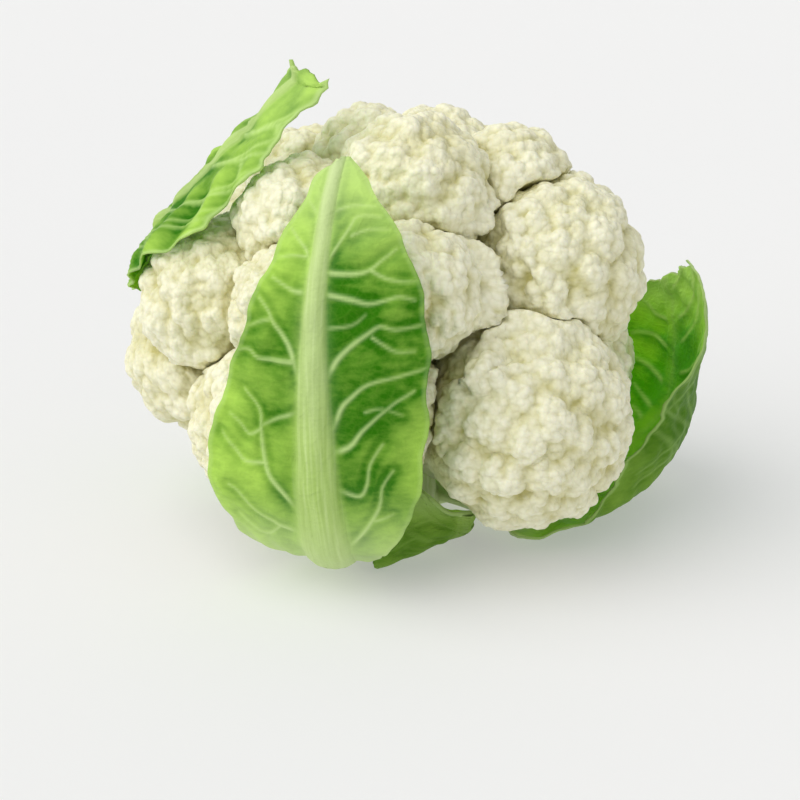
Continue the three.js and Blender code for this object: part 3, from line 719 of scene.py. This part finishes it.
def floret_reach(florets, floret, d):
    """Distance from the cap's centre to the floret's surface along unit directions d.

    It is the soft maximum of the core ball, the funnel of the branch, where the ray leaves
    each cluster's ball and the head's dome, cut by the soft minimum with each wall, whose
    distance along the ray is found in five steps.
    """
    along = d @ floret.branch
    facing = np.maximum(along, 0.02)
    flare = BRANCH.flare * floret.radius
    slope = np.sqrt(np.maximum(0, 1 - along ** 2)) / facing
    depth = flare * floret.length / (floret.length * slope + flare - BRANCH.root)
    funnel = np.where(along > 0.02, np.minimum(depth, floret.length) / facing, 0)
    far = soft_max(np.full(len(d), float(floret.radius - LUMP.core)), funnel, SEAM.branch)
    for centre, rounding in zip(floret.lumps, floret.rounding):
        far = soft_max(far, leave_ball(d, centre, rounding), SEAM.lump)
    valley = valley_reach(florets, floret, d, far)
    far = soft_max(far, valley * ease_cos(d @ floret.axis, *DOME.edge), SEAM.dome)
    for wall in floret.walls:
        room = far
        for _ in range(5):
            there = floret.centre + d * room[:, None]
            normal = wall_normal(wall, there)
            toward = np.sum(d * normal, axis=1)
            free = np.sum((wall[2] - floret.centre) * normal, axis=1) - wall_margin(wall, there)
            limit = np.where(toward > 1e-6, free / np.maximum(toward, 1e-6), 1e3)
            limit = np.clip(limit, 0, far + 10)
            room = (room + limit) / 2
        far = soft_min(far, limit, WALL.round)
    return far


def ball_grid(count, axis):
    """A square grid wrapped round a ball about an axis; its whole border meets behind.

    The square goes to a disc in rings of equal area, and the disc to the ball: BALL.share
    of its radius covers BALL.front degrees round the axis evenly, the rest what is behind.
    """
    line = np.linspace(-1, 1, count)
    a, b = np.meshgrid(line, line, indexing="ij")
    wide = np.abs(a) > np.abs(b)
    flat = np.where(wide, a, b)
    ratio = np.where(wide, b, a) / np.where(flat == 0, 1, flat)
    spin = np.where(wide, np.pi / 4 * ratio, np.pi / 2 - np.pi / 4 * ratio)
    spin = spin + np.where(flat < 0, np.pi, 0)
    rho = np.abs(flat)
    depth = 1 - np.cos(np.radians(BALL.front))
    front = np.arccos(np.clip(1 - depth * (rho / BALL.share) ** 2, -1, 1))
    back = np.radians(BALL.front + (180 - BALL.front) * (rho - BALL.share) / (1 - BALL.share))
    return tilted(axis, np.where(rho < BALL.share, front, back), spin)


def domes(points, size, seed):
    """Rounded bumps of about the given size: 1 at a bump's top, 0 to -1 in the creases."""
    first, label = cells(points, size, seed)
    return np.clip(1 - 2.6 * first ** 2, -1, 1) * (1 + 0.2 * label) + 0.15 * label


def raise_bumps(points, shape, d, height):
    """Moves points out along the surface's own normals by a height given for each.

    Where the surface runs nearly along its ray the grid is too stretched to hold bumps,
    so they die out there.
    """
    normals = grid_normals(points.reshape(*shape, 3)).reshape(-1, 3)
    facing = np.sum(normals * d, axis=1)
    height = height * ease(np.abs(facing), *BUDS.facing)
    return points + normals * (np.sign(facing + 1e-9) * height)[:, None]


def build_floret(florets, floret, settings, material):
    """Fine floret: the star-shaped body with buds, then grains, raised along its normals.

    Both are rounded bumps that meet in creases, laid out by cellular noise. They fade out
    on the branch, which has low ribs instead. Florets to the front, where most of the head
    is seen, have the finer grids.
    """
    fineness = settings.fineness * (BALL.fine - BALL.finer * floret.axis[1])
    count = 2 * int(floret.radius * fineness / 2) + 1
    ball = ball_grid(count, -floret.branch)
    shape = ball.shape[:2]
    d = ball.reshape(-1, 3)
    reach = floret_reach(florets, floret, d)
    points = d * reach[:, None]
    cap = ease_cos(d @ floret.axis, *BUDS.edge)
    place = points + BUDS.apart * (floret.order + 1)
    buds = domes(place, settings.bud_size / MM, floret.order)
    points = raise_bumps(points, shape, d, cap * buds * settings.bud_height / MM)
    grains = domes(points + BUDS.grains_apart, settings.grain_size / MM, 50 + floret.order)
    ribs = (1 - cap) * BRANCH.rib * waves(points, BRANCH.rib_pitch, floret.order)
    points = raise_bumps(points, shape, d, cap * grains * settings.grain_height / MM + ribs)
    points = keep_inside(floret, points + floret.centre)
    # Painted shade: this field darkens the curd where it lies deep and in the creases between buds and
    # grains.
    sunk = np.clip((floret.radius - reach - CLEFT_SHADE.start) / CLEFT_SHADE.full, 0, 1)
    cleft_shade = (CLEFT_SHADE.deep * sunk + CLEFT_SHADE.bud * np.clip(0.3 - buds, 0, 1.2)
             + CLEFT_SHADE.grain * np.clip(0.1 - grains, 0, 1))
    border = np.ones(shape, bool)
    border[1:-1, 1:-1] = False
    index = np.arange(count * count).reshape(shape)
    index[border] = 0
    points[0] = floret.centre + floret.branch * floret.length * BRANCH.stop
    kept, index = np.unique(index, return_inverse=True)
    quads = grid_quads(index.reshape(shape), flip=True)
    fields = {"cleft_shade": np.clip(cleft_shade, 0, 1)[kept], "branch": 1 - cap[kept]}
    obj = make_object(floret.name + "_curd", keep_inside(floret, points[kept]), quads, fields)
    dress(obj, floret.name, "curd", material)


# ---- leaves -----------------------------------------------------------------------

def curve_through(rows, t):
    """A smooth curve through evenly spread rows, read at t between 0 and 1.

    Each stretch is the cubic that leaves and meets its rows with half the step between
    the rows on either side of them.
    """
    rows = np.asarray(rows, float)
    last = len(rows) - 1
    x = np.clip(t, 0, 1) * last
    k = np.minimum(np.floor(x).astype(int), last - 1)
    f = (x - k)[..., None]
    p, q = rows[k], rows[k + 1]
    m0 = (q - rows[np.maximum(k - 1, 0)]) / 2
    m1 = (rows[np.minimum(k + 2, last)] - p) / 2
    c = 3 * (q - p) - 2 * m0 - m1
    d = 2 * (p - q) + m0 + m1
    return p + f * (m0 + f * (c + f * d))


def leaf_length(leaf):
    """Length of a leaf along its midrib."""
    return (len(leaf.rows) - 1) * ROW_STEP


def off_stalk(points):
    """Moves points out sideways where they would touch the stalk."""
    flat = np.linalg.norm(points[..., :2], axis=-1)
    grow = np.maximum(1, LEAF_FOOT / flat)[..., None]
    return points * np.concatenate([grow, grow, np.ones_like(grow)], -1)


def leaf_points(leaf, florets, t, s, side):
    """Points of a leaf's inner face.

    t runs from base to tip, s is millimetres to the right of the midrib and side is s over
    the blade's reach. The section across is an arc of the row's bend radius, its margin
    waves in and out, and the whole is lifted off every cap along rays from the heart. The
    leaf stands on the stalk's axis at its foot and on the heart's from its third row on.
    """
    out, height, _, _, bend, rise, turn = np.moveaxis(curve_through(leaf.rows, t), -1, 0)
    size, pitch, phase = leaf.wave
    steps = len(leaf.rows) - 1
    along = t * steps * ROW_STEP / pitch
    wave = size * side ** 2 * np.sin(2 * np.pi * (along + phase + SIDE_SHIFT.wave * np.sign(side)))
    radial = out + wave - bend * (1 - np.cos(s / bend))
    aside = bend * np.sin(s / bend)
    facing = heading(leaf.azimuth + turn)
    lean = np.minimum(1, t * steps / 2)
    point = np.stack([
        HEART[0] * lean + facing[..., 0] * radial - facing[..., 1] * aside,
        HEART[1] * lean + facing[..., 1] * radial + facing[..., 0] * aside,
        height + rise * s / 10,
    ], -1)
    ray = point - HEART
    distance = np.linalg.norm(ray, axis=-1)
    ray = ray / distance[..., None]
    clear = [leave_ball(ray, floret.centre - HEART, floret.radius + LEAF_CLEAR) for floret in florets]
    short = np.max(clear, axis=0) - distance
    lift = (short + np.hypot(short, LEAF_EASE)) / 2
    return off_stalk(point + ray * lift[..., None])


def blade_reach(leaf, t, sign):
    """Reach of the blade to one side, with shallow lobes and small notches in its margin."""
    rows = curve_through(leaf.rows, t)
    size, pitch, phase = leaf.lobes
    length = leaf_length(leaf)
    fade = np.minimum(1, 4 * t)
    base = np.where(sign < 0, rows[..., 2], rows[..., 3])
    lobes = size * fade * np.sin(2 * np.pi * (t * length / pitch + phase + SIDE_SHIFT.lobes * sign))
    saw = sum(share * np.sin(2 * np.pi * (t * length / pitch + shift * sign))
              for pitch, shift, share in NOTCHES)
    notch = leaf.notch * fade * ease(base, 6, 14) * saw
    return (base + lobes + notch) * (1 - leaf.point * ease(t, 0.94, 1.0))


def torn_end(leaf, c):
    """Millimetres that are missing from a leaf's end along each line up it: two saw waves."""
    s = np.where(c < 0, *leaf.rows[-1][2:4]) * c
    return leaf.tear * sum(share * np.abs(2 * np.mod(s / pitch + phase * leaf.seed, 1) - 1)
                           for pitch, phase, share in TEARS)


def grown_veins(leaf):
    """Side veins of the halves of a leaf that have no drawn ones.

    On each side a vein leaves the midrib about every 12 millimetres, bows towards the tip
    on its way to the margin, and sends off two branches that bow the other way.
    """
    length = leaf_length(leaf)
    veins = []
    for sign in leaf.grown:
        starts = np.arange(GROWN.first + 3 * sign, GROWN.last * length, GROWN.step)
        for n, start in enumerate(starts):
            key = leaf.seed * 37 + n * 2 + (sign > 0)
            start = start + GROWN.vary * scatter(key, 1)
            reach = 0.94 * blade_reach(leaf, np.array(start / length), sign)
            f = np.linspace(0, 1, 8)
            climb = (0.45 + 0.15 * scatter(key, 2)) * reach
            y = start + climb * f + 0.25 * reach * f ** 2 + GROWN.wander * np.sin(5 * f + key)
            main = np.stack([np.minimum(y, length), sign * reach * f], -1)
            veins.append((main, *GROWN.main))
            for fork, turn in ((0.36 + 0.06 * scatter(key, 3), 1), (0.6 + 0.06 * scatter(key, 4), -1)):
                left = reach * (0.95 - fork)
                away = np.array([0.5 * turn + 0.3, sign * 0.75])
                bow = np.array([0.25 * turn, sign * 0.2])
                g = np.linspace(0, 1, 5)[:, None]
                branch = curve_through(main, np.array(fork)) + left * (away * g + bow * g ** 2)
                branch[:, 0] = np.minimum(branch[:, 0], length)
                veins.append((branch, *GROWN.branch))
    return veins


def vein_fields(veins, y, s, finest):
    """How strongly each point of a blade lies on a vein, 0 to 1, and how far it is from any.

    Each vein is a smooth line cut into short straight pieces; its strength falls off as a
    bell curve of the distance to the nearest piece, and its width tapers to its end, but
    no further than the finest line that the blade's grid can hold. Thin veins are fainter,
    and every vein fades by six tenths to its end.
    """
    strength = np.zeros_like(s)
    nearest = np.full_like(s, 9.0)
    for points, thick, thin in veins:
        count = 3 * (len(points) - 1)
        line = curve_through(points, np.linspace(0, 1, count + 1))
        for k, (p, q) in enumerate(zip(line[:-1], line[1:])):
            step = q - p
            f = np.clip(((y - p[0]) * step[0] + (s - p[1]) * step[1]) / (step @ step + 1e-9), 0, 1)
            away = np.hypot(y - p[0] - f * step[0], s - p[1] - f * step[1])
            gone = (k + f) / count
            width = np.maximum(thick + (thin - thick) * gone, finest)
            power = min(1, 0.25 + 0.7 * thick) * (1 - 0.6 * gone) * bell(away, 0.8 * width)
            strength = np.maximum(strength, power)
            nearest = np.minimum(nearest, away)
    return strength, nearest


def leaf_grid(leaf, florets):
    """A blade as a grid: where each point lies in the leaf and in space.

    t runs from base to tip and c from margin to margin; y and s are the same two in
    millimetres. q is the distance from the midrib's middle over its half width, and edge
    and foot are 1 at the margins and beyond the leaf's foot.
    """
    rows, wide = leaf.grid
    length = leaf_length(leaf)
    t, c = np.meshgrid(np.linspace(0, 1, rows), np.linspace(-1, 1, 2 * (wide // 2) + 1), indexing="ij")
    t = t - torn_end(leaf, c) / length * t ** 10
    reach = blade_reach(leaf, t, np.where(c < 0, -1.0, 1.0))
    s, y = c * reach, t * length
    base = leaf_points(leaf, florets, t, s, c)
    normals = grid_normals(base)
    normals *= np.sign(np.sum(normals * (base - HEART), axis=-1, keepdims=True))
    rib = np.minimum(leaf.rib[0] + (leaf.rib[1] - leaf.rib[0]) * np.sqrt(t), 0.8 * reach)
    rib = rib * (1.15 + leaf.broad * ease(t, 0, 0.35) * ease(t, 0.85, 0.4))
    step = max(length / rows, np.ptp(s, axis=1).max() / wide)
    drawn = [(np.reshape(v[2:], (-1, 2)), v[0], v[1]) for v in DRAWN_VEINS.get(leaf.name, ())]
    vein, away = vein_fields(drawn + grown_veins(leaf), y, s, max(0.5, 0.9 * step))
    return SimpleNamespace(t=t, c=c, s=s, y=y, reach=reach, base=base, normals=normals, vein=vein,
                           away=away, q=np.abs(s + 1.6 * leaf.broad) / rib,
                           edge=ease(np.abs(c), 0.7, 1.0), foot=ease(y, *FOOT_END))


def leaf_faces(leaf, g, flat, crumple, settings):
    """The outer and inner face of a blade, as two grids of points.

    The inner face is the sheet itself, lifted into low blisters between veins and crumpled.
    The outer face stands off it by the blade's thickness plus a rounded midrib with fine
    grooves and the raised veins, which also press a quarter as far into the inner face.
    """
    uneven = 0.7 + 0.3 * waves(g.base, BLISTER.pitch, leaf.seed)
    blister = flat * (1 - bell(g.away, BLISTER.near)) * uneven
    ruffle = flat * g.edge * waves(g.base, RUFFLE.pitch, leaf.seed + 7) * min(1, 2 * leaf.notch)
    lift = settings.pucker / MM * blister + RUFFLE.height * np.maximum(ruffle, -0.3) + crumple
    inner = g.base + g.normals * lift[..., None]
    blade = leaf.blade + (1 - g.t) ** 4 * 1.5
    fleshy = leaf.fleshy[0] + (leaf.fleshy[1] - leaf.fleshy[0]) * np.sqrt(g.t)
    dome = 0.5 * np.sqrt(np.maximum(0, 1 - g.q ** 2)) + 0.5 * bell(1.1 * g.q)
    lines = np.sin(g.s * GROOVE.per_mm + GROOVE.sway * np.sin(g.y / GROOVE.sway_mm))
    grooves = GROOVE.height * lines * bell(g.q) * ease(fleshy, 2, 5)
    thick = blade * (1 - 0.45 * g.edge * g.foot) + (fleshy - blade) * dome * (1 - 0.5 * g.edge) + grooves
    raised = settings.vein_height / MM * g.vein * flat
    outer = off_stalk(inner + g.normals * (thick + raised)[..., None])
    return outer, inner - g.normals * (VEIN_PRESS * raised)[..., None]


def leaf_fields(leaf, g, flat, crumple):
    """The four fields that colour a blade, each given for the outer, then the inner face.

    deep is how deep the green is: the tone of the leaf's half, whose deeper half is partly
    painted shade, lighter to the margin, at the tip and towards the foot, with painted shade
    beside the midrib and the veins and in the folds, and painted light on the folds' rises.
    vein and rib mark the veins, the pale margins, partly a painted highlight, and the midrib. pale is how
    blanched the foot, the tip and a broad midrib are.
    """
    # Pale margins: partly a painted highlight where an edge catches the light.
    rim = np.where(g.c < 0, *leaf.rim) * ease(g.reach - np.abs(g.s), 2.0, 0.7) * g.foot
    # The halves' greens: a deeper half is partly painted shade, where it turns from the light.
    tones = np.where(g.c < 0, *leaf.tones)
    side = leaf.tones[0] + (leaf.tones[1] - leaf.tones[0]) * ease(g.s, -3, 4)
    margin = GREEN.margin * ease(np.abs(g.c), 0.5, 1.0) * (1.2 - side)
    foot = sum(share * ease(g.t, start, full) for share, start, full in GREEN.foot)
    # Painted shade beside the midrib and veins and in the crumples' folds, and painted light on their
    # rises.
    deep = (side * (1 - margin) + GREEN.half * (tones - side)
            + GREEN.patch * waves(g.base, GREEN.patch_pitch, leaf.seed + 3)
            + GREEN.shade_by_rib * bell(g.q - 1.7, 0.8)
            + GREEN.shade_by_vein * flat * bell(g.away - 1.7, 1.2) - GREEN.fold_shade * crumple
            - GREEN.tip * leaf.tip * ease(g.t, 0.7, 0.9) - side * foot)
    pale = (np.exp(-(g.y / leaf.blanch) ** 4) + 0.4 * leaf.tip * ease(g.t, 0.76, 1.0)
            + 0.9 * leaf.broad * ease(g.t, 0.4, 0.7) * bell(g.q))
    return {
        "vein": np.tile(leaf.marks * np.maximum(g.vein * flat, rim).ravel(), 2),
        "rib": leaf.marks * np.stack([ease(g.q, 1.3, 0.7), leaf.lined * ease(g.q, 0.4, 0.15)]).ravel(),
        "pale": np.tile(np.clip(pale, 0, 1).ravel(), 2),
        "deep": np.tile(np.clip(deep, 0, 1).ravel(), 2),
    }


def build_leaf(leaf, florets, settings, outside, inside):
    """Fine leaf: a closed sheet whose outer face carries the midrib, veins and puckers."""
    g = leaf_grid(leaf, florets)
    flat = ease(g.q, 0.85, 1.6) * g.foot
    crumple = leaf.crumple * waves(g.base, CRUMPLE_PITCH, leaf.seed + 5) * g.foot * (1 - g.vein)
    faces = leaf_faces(leaf, g, flat, crumple, settings)
    index = np.arange(g.t.size).reshape(g.t.shape)
    back = index + g.t.size
    quads = np.concatenate([
        grid_quads(index), grid_quads(back, flip=True),
        grid_quads(np.stack([index[:, 0], back[:, 0]])), grid_quads(np.stack([back[:, -1], index[:, -1]])),
        grid_quads(np.stack([back[0], index[0]])), grid_quads(np.stack([index[-1], back[-1]])),
    ])
    points = np.concatenate([face.reshape(-1, 3) for face in faces])
    uv = np.tile(np.stack([g.s, g.y], -1).reshape(-1, 2), (2, 1)) / UV_MM + 0.5
    obj = make_object(leaf.name + "_blade", points, quads, leaf_fields(leaf, g, flat, crumple), uv)
    dress(obj, leaf.name, "leaf", outside, inside)
    slots = np.zeros(len(obj.data.polygons), np.int32)
    per_face = (index.shape[0] - 1) * (index.shape[1] - 1)
    slots[per_face:2 * per_face] = 1
    obj.data.polygons.foreach_set("material_index", slots)


# ---- stalk ------------------------------------------------------------------------

def build_stalk(settings, material):
    """Fine stalk: the profile turned about its axis, with leaf scars, grooves and a cut foot.

    The radius runs straight between the profile's points, with shallow grooves along it
    and shallow scars round it. The cut face dips to its middle and is a little rough.
    """
    around, up, across = settings.around, settings.up, settings.across
    turn = np.linspace(0, 2 * np.pi, around, endpoint=False)
    height = STALK[-1, 1] * np.linspace(0, 1, up)
    z, a = np.meshgrid(height, turn, indexing="ij")
    r = np.repeat(np.interp(height, STALK[:, 1], STALK[:, 0])[:, None], around, 1)
    coarse, fine = np.sin(19 * a + 0.6 * np.sin(z / 11)), np.sin(43 * a + 1.3 + z / 17)
    grooves = (RIND.coarse * coarse + RIND.fine * fine) * ease(z, 0, 3)
    scars = sum(bell(z - level - swing * np.sin(a * often + phase), width)
                for level, swing, often, phase, width in SCARS)
    r = r - RIND.inset - 0.2 * ease(z, 0, 2) + grooves - RIND.scar * scars
    wall = np.stack([r * np.cos(a), r * np.sin(a), z], -1)
    f, a = np.meshgrid(np.linspace(0, 1, across)[1:-1], turn, indexing="ij")
    rough = 0.09 * np.sin(9 * a + 14 * f) + 0.08 * np.sin(17 * a - 21 * f)
    sunk = (CUT.dip * (1 - f) ** 0.7 + rough * (1 - f)) * ease(f, 1.0, 0.9)
    foot = np.stack([r[0] * f * np.cos(a), r[0] * f * np.sin(a), np.maximum(0, sunk)], -1)
    f = f[::-1]
    crown = np.stack([r[-1] * f * np.cos(a), r[-1] * f * np.sin(a), z[-1] + 0 * f], -1)
    rings = np.concatenate([foot, wall, crown])
    count = rings.shape[0]
    index = np.arange(count * around).reshape(count, around)
    index = np.concatenate([index, index[:, :1]], 1)
    poles = count * around + np.arange(2)
    index = np.concatenate([np.full((1, around + 1), poles[0]), index, np.full((1, around + 1), poles[1])])
    ends = np.array([[0, 0, CUT.dip], [0, 0, STALK[-1, 1]]])
    points = np.concatenate([rings.reshape(-1, 3), ends])
    cut = np.zeros(len(points))
    cut[:foot.shape[0] * around] = 1
    cut[-2] = 1
    far = np.linalg.norm(points[:, :2], axis=1)
    wander = 0.6 * np.sin(5 * np.arctan2(points[:, 1], points[:, 0]))
    ring = bell(far - CUT.ring - wander, CUT.ring_width)
    obj = make_object("stalk_core", points, grid_quads(index), {"cut": cut, "ring": ring})
    dress(obj, "stalk", "stalk", material)


# ---- stage ------------------------------------------------------------------------

def build_floor(settings):
    """Floor that sweeps up into a backdrop: a straight run, a quarter circle and a wall."""
    size, bend = settings.floor_size / MM, settings.floor_bend / MM
    arc = np.linspace(0, np.pi / 2, 16)
    run = np.concatenate([
        np.stack([np.linspace(-size, size - bend, 12), np.zeros(12)], -1),
        np.stack([size - bend + bend * np.sin(arc), bend - bend * np.cos(arc)], -1)[1:],
        np.stack([np.full(6, size), np.linspace(bend, size, 6)], -1)[1:],
    ])
    across = np.linspace(-size, size, 12)
    x, k = np.meshgrid(across, np.arange(len(run)), indexing="ij")
    points = np.stack([x, run[k, 0], run[k, 1]], -1)
    index = np.arange(x.size).reshape(x.shape)
    obj = make_object("studio_floor", points.reshape(-1, 3), grid_quads(index, flip=True))
    obj.data.materials.append(floor_material(settings))


def add_light(name, kind, away, place=(0, 0, 0), **settings):
    """A light at a place that shines from the direction away; metres and watts."""
    light = bpy.data.lights.new(name, kind)
    for key, value in settings.items():
        setattr(light, key, value)
    obj = bpy.data.objects.new(name, light)
    turn = Vector(away).to_track_quat("Z", "Y").to_matrix().to_4x4()
    obj.matrix_world = Matrix.Translation(place) @ turn
    bpy.context.scene.collection.objects.link(obj)


def add_sky(strength):
    """A plain pale sky all round."""
    world = bpy.data.worlds.new("studio_world")
    bpy.context.scene.world = world
    world.use_nodes = True
    sky = world.node_tree.nodes["Background"]
    sky.inputs["Color"].default_value = tone("#F4F6F8")
    sky.inputs["Strength"].default_value = strength


def add_camera():
    """Camera that puts the heart at its place in the view, at the view's scale."""
    tilt = np.radians(VIEW.elevation)
    ahead = np.array([0, np.cos(tilt), -np.sin(tilt)])
    right = np.array([1.0, 0, 0])
    up = np.cross(right, ahead)
    middle = VIEW.width / 2
    aim = HEART + right * (middle - VIEW.heart_px[0]) / VIEW.px_per_mm
    aim = aim + up * (VIEW.heart_px[1] - middle) / VIEW.px_per_mm
    place = (aim - ahead * VIEW.distance) * MM
    camera = bpy.data.cameras.new("picture_camera")
    camera.sensor_width = VIEW.sensor
    camera.lens = VIEW.px_per_mm * VIEW.distance * VIEW.sensor / VIEW.width
    obj = bpy.data.objects.new("picture_camera", camera)
    rotation = Matrix((right, up, -ahead)).transposed()
    obj.matrix_world = Matrix.Translation(Vector(place)) @ rotation.to_4x4()
    bpy.context.scene.collection.objects.link(obj)
    bpy.context.scene.camera = obj


# ---- settings, operators and panel ------------------------------------------------

def length_prop(name, text, value, low, high):
    """A length property whose value and range are given in millimetres."""
    return bpy.props.FloatProperty(name=name, description=text, default=value * MM, min=low * MM,
                                   max=high * MM, subtype="DISTANCE", unit="LENGTH")


def colour_prop(name, text, code):
    """A colour property whose value is given as sRGB hex."""
    return bpy.props.FloatVectorProperty(name=name, description=text, default=tone(code)[:3],
                                         size=3, min=0.0, max=1.0, subtype="COLOR")


class FloretSettings(bpy.types.PropertyGroup):
    """Sizes and colours of the buds and grains on a floret."""

    bud_size: length_prop("Bud size", "Spacing of the buds", 4.7, 2, 12)
    bud_height: length_prop("Bud height", "How far a bud stands out", 1.0, 0, 3)
    grain_size: length_prop("Grain size", "Spacing of the grains on a bud", 2.6, 1, 5)
    grain_height: length_prop("Grain height", "How far a grain stands out", 0.3, 0, 1)
    fineness: bpy.props.FloatProperty(
        name="Fineness", description="Grid lines per millimetre of cap radius", default=3.8,
        min=1.0, max=6.0)
    top_colour: colour_prop("Top colour", "Colour of the bud tops", "#FBF9DF")
    # Painted shade: the colour that the deepest clefts are darkened to.
    cleft_shade_colour: colour_prop("Cleft colour", "Colour deep between the clusters", "#95893A")


class LeafSettings(bpy.types.PropertyGroup):
    """Relief and colours of a leaf."""

    vein_height: length_prop("Vein height", "How far side veins stand out", 0.55, 0, 2)
    pucker: length_prop("Pucker", "Height of the blisters between veins", 0.8, 0, 3)
    light_colour: colour_prop("Light green", "Lightest green of an outer face", "#B1DC5A")
    deep_colour: colour_prop("Deep green", "Deepest green of an outer face", "#2F7400")
    vein_colour: colour_prop("Vein colour", "Colour of an outer face's side veins", "#CDE89A")


class StalkSettings(bpy.types.PropertyGroup):
    """Grid and colour of the stalk."""

    around: bpy.props.IntProperty(
        name="Around", description="Grid lines round the stalk", default=144, min=12, max=400)
    up: bpy.props.IntProperty(
        name="Up", description="Grid lines up the stalk", default=56, min=8, max=200)
    across: bpy.props.IntProperty(
        name="Across", description="Rings on the cut face", default=14, min=4, max=60)
    rind_colour: colour_prop("Rind colour", "Darker green of the rind's fibres", "#C4D196")


class StageSettings(bpy.types.PropertyGroup):
    """Floor and lights of the studio."""

    floor_size: length_prop("Floor size", "Half width of the floor", 2500, 500, 10000)
    floor_bend: length_prop("Floor bend", "Radius of the sweep to the backdrop", 1000, 100, 4000)
    floor_colour: colour_prop("Floor colour", "Colour of the floor and backdrop", "#C6C6C6")
    key_strength: bpy.props.FloatProperty(
        name="Key light", description="Strength of the main light", default=1.9,
        min=0.0, max=20.0)
    fill_power: bpy.props.FloatProperty(
        name="Fill light", description="Power of the fill light", default=0.8,
        min=0.0, max=500.0, unit="POWER")
    sky: bpy.props.FloatProperty(
        name="Sky", description="Strength of the light from all round", default=0.57,
        min=0.0, max=5.0)


class CAULIFLOWER_OT_florets(bpy.types.Operator):
    """Build the fine florets in place of the floret solids"""

    bl_idname = "cauliflower.florets"
    bl_label = "Build Florets"

    def execute(self, context):
        settings = context.scene.cauliflower_florets
        material = curd_material(settings)
        florets = plan_head()
        for floret in florets:
            build_floret(florets, floret, settings, material)
        return {"FINISHED"}


class CAULIFLOWER_OT_leaves(bpy.types.Operator):
    """Build the fine leaves in place of the leaf solids"""

    bl_idname = "cauliflower.leaves"
    bl_label = "Build Leaves"

    def execute(self, context):
        settings = context.scene.cauliflower_leaves
        greens = (settings.light_colour, settings.deep_colour, settings.vein_colour)
        outer = leaf_material("leaf_outer_face", *((*green, 1.0) for green in greens))
        shaded, inner = (leaf_material(name, *map(tone, codes)) for name, codes in (
            # A duller copy of the outer face: painted shade for the leaves whose outside lies in shade;
            # leaf_outer_face is the lit copy.
            ("leaf_outer_face_shaded", ("#84AC40", "#4A7A12", "#A2C470")),
            # Inner face: brighter greens, partly the leaf's own yellow-green and partly painted light,
            # lifting it out of the head's shade and standing in for light shining through the leaf.
            ("leaf_inner_face", ("#AFF034", "#54B400", "#C8F080"))))
        florets = plan_head()
        for leaf in LEAVES:
            build_leaf(leaf, florets, settings, shaded if leaf.dark else outer, inner)
        return {"FINISHED"}


class CAULIFLOWER_OT_stalk(bpy.types.Operator):
    """Build the fine stalk in place of the stalk solid"""

    bl_idname = "cauliflower.stalk"
    bl_label = "Build Stalk"

    def execute(self, context):
        settings = context.scene.cauliflower_stalk
        build_stalk(settings, stalk_material(settings))
        return {"FINISHED"}


class CAULIFLOWER_OT_stage(bpy.types.Operator):
    """Build the floor, the lights and the camera"""

    bl_idname = "cauliflower.stage"
    bl_label = "Build Studio"

    def execute(self, context):
        settings = context.scene.cauliflower_stage
        build_floor(settings)
        add_light("key_light", "SUN", KEY.away, angle=np.radians(KEY.wide),
                  energy=settings.key_strength, color=tone("#FFFDF8")[:3])
        place = Vector(FILL.place)
        add_light("fill_light", "AREA", place - Vector(HEART * MM), place, size=FILL.size,
                  energy=settings.fill_power)
        add_sky(settings.sky)
        add_camera()
        context.scene.view_settings.view_transform = "Standard"
        return {"FINISHED"}


class CAULIFLOWER_PT_panel(bpy.types.Panel):
    """Sidebar panel with the settings and a button for each part"""

    bl_idname = "CAULIFLOWER_PT_panel"
    bl_label = "Cauliflower"
    bl_space_type = "VIEW_3D"
    bl_region_type = "UI"
    bl_category = "Cauliflower"

    def draw(self, context):
        for name, operator, group in PARTS:
            box = self.layout.box()
            for key in group.__annotations__:
                box.prop(getattr(context.scene, name), key)
            box.operator(operator)


PARTS = (
    ("cauliflower_florets", "cauliflower.florets", FloretSettings),
    ("cauliflower_leaves", "cauliflower.leaves", LeafSettings),
    ("cauliflower_stalk", "cauliflower.stalk", StalkSettings),
    ("cauliflower_stage", "cauliflower.stage", StageSettings),
)
CLASSES = tuple(part[2] for part in PARTS) + (
    CAULIFLOWER_OT_florets, CAULIFLOWER_OT_leaves, CAULIFLOWER_OT_stalk, CAULIFLOWER_OT_stage,
    CAULIFLOWER_PT_panel,
)


def register():
    """Registers the classes and hangs the settings on the scene."""
    for cls in CLASSES:
        bpy.utils.register_class(cls)
    for name, _, group in PARTS:
        setattr(bpy.types.Scene, name, bpy.props.PointerProperty(type=group))


def unregister():
    """Takes the settings and classes away again."""
    for name, _, _ in PARTS:
        delattr(bpy.types.Scene, name)
    for cls in reversed(CLASSES):
        bpy.utils.unregister_class(cls)


def main():
    """Builds every part through its operator."""
    register()
    bpy.ops.cauliflower.florets()
    bpy.ops.cauliflower.leaves()
    bpy.ops.cauliflower.stalk()
    bpy.ops.cauliflower.stage()
    bpy.context.view_layer.update()


if __name__ == "__main__":
    main()
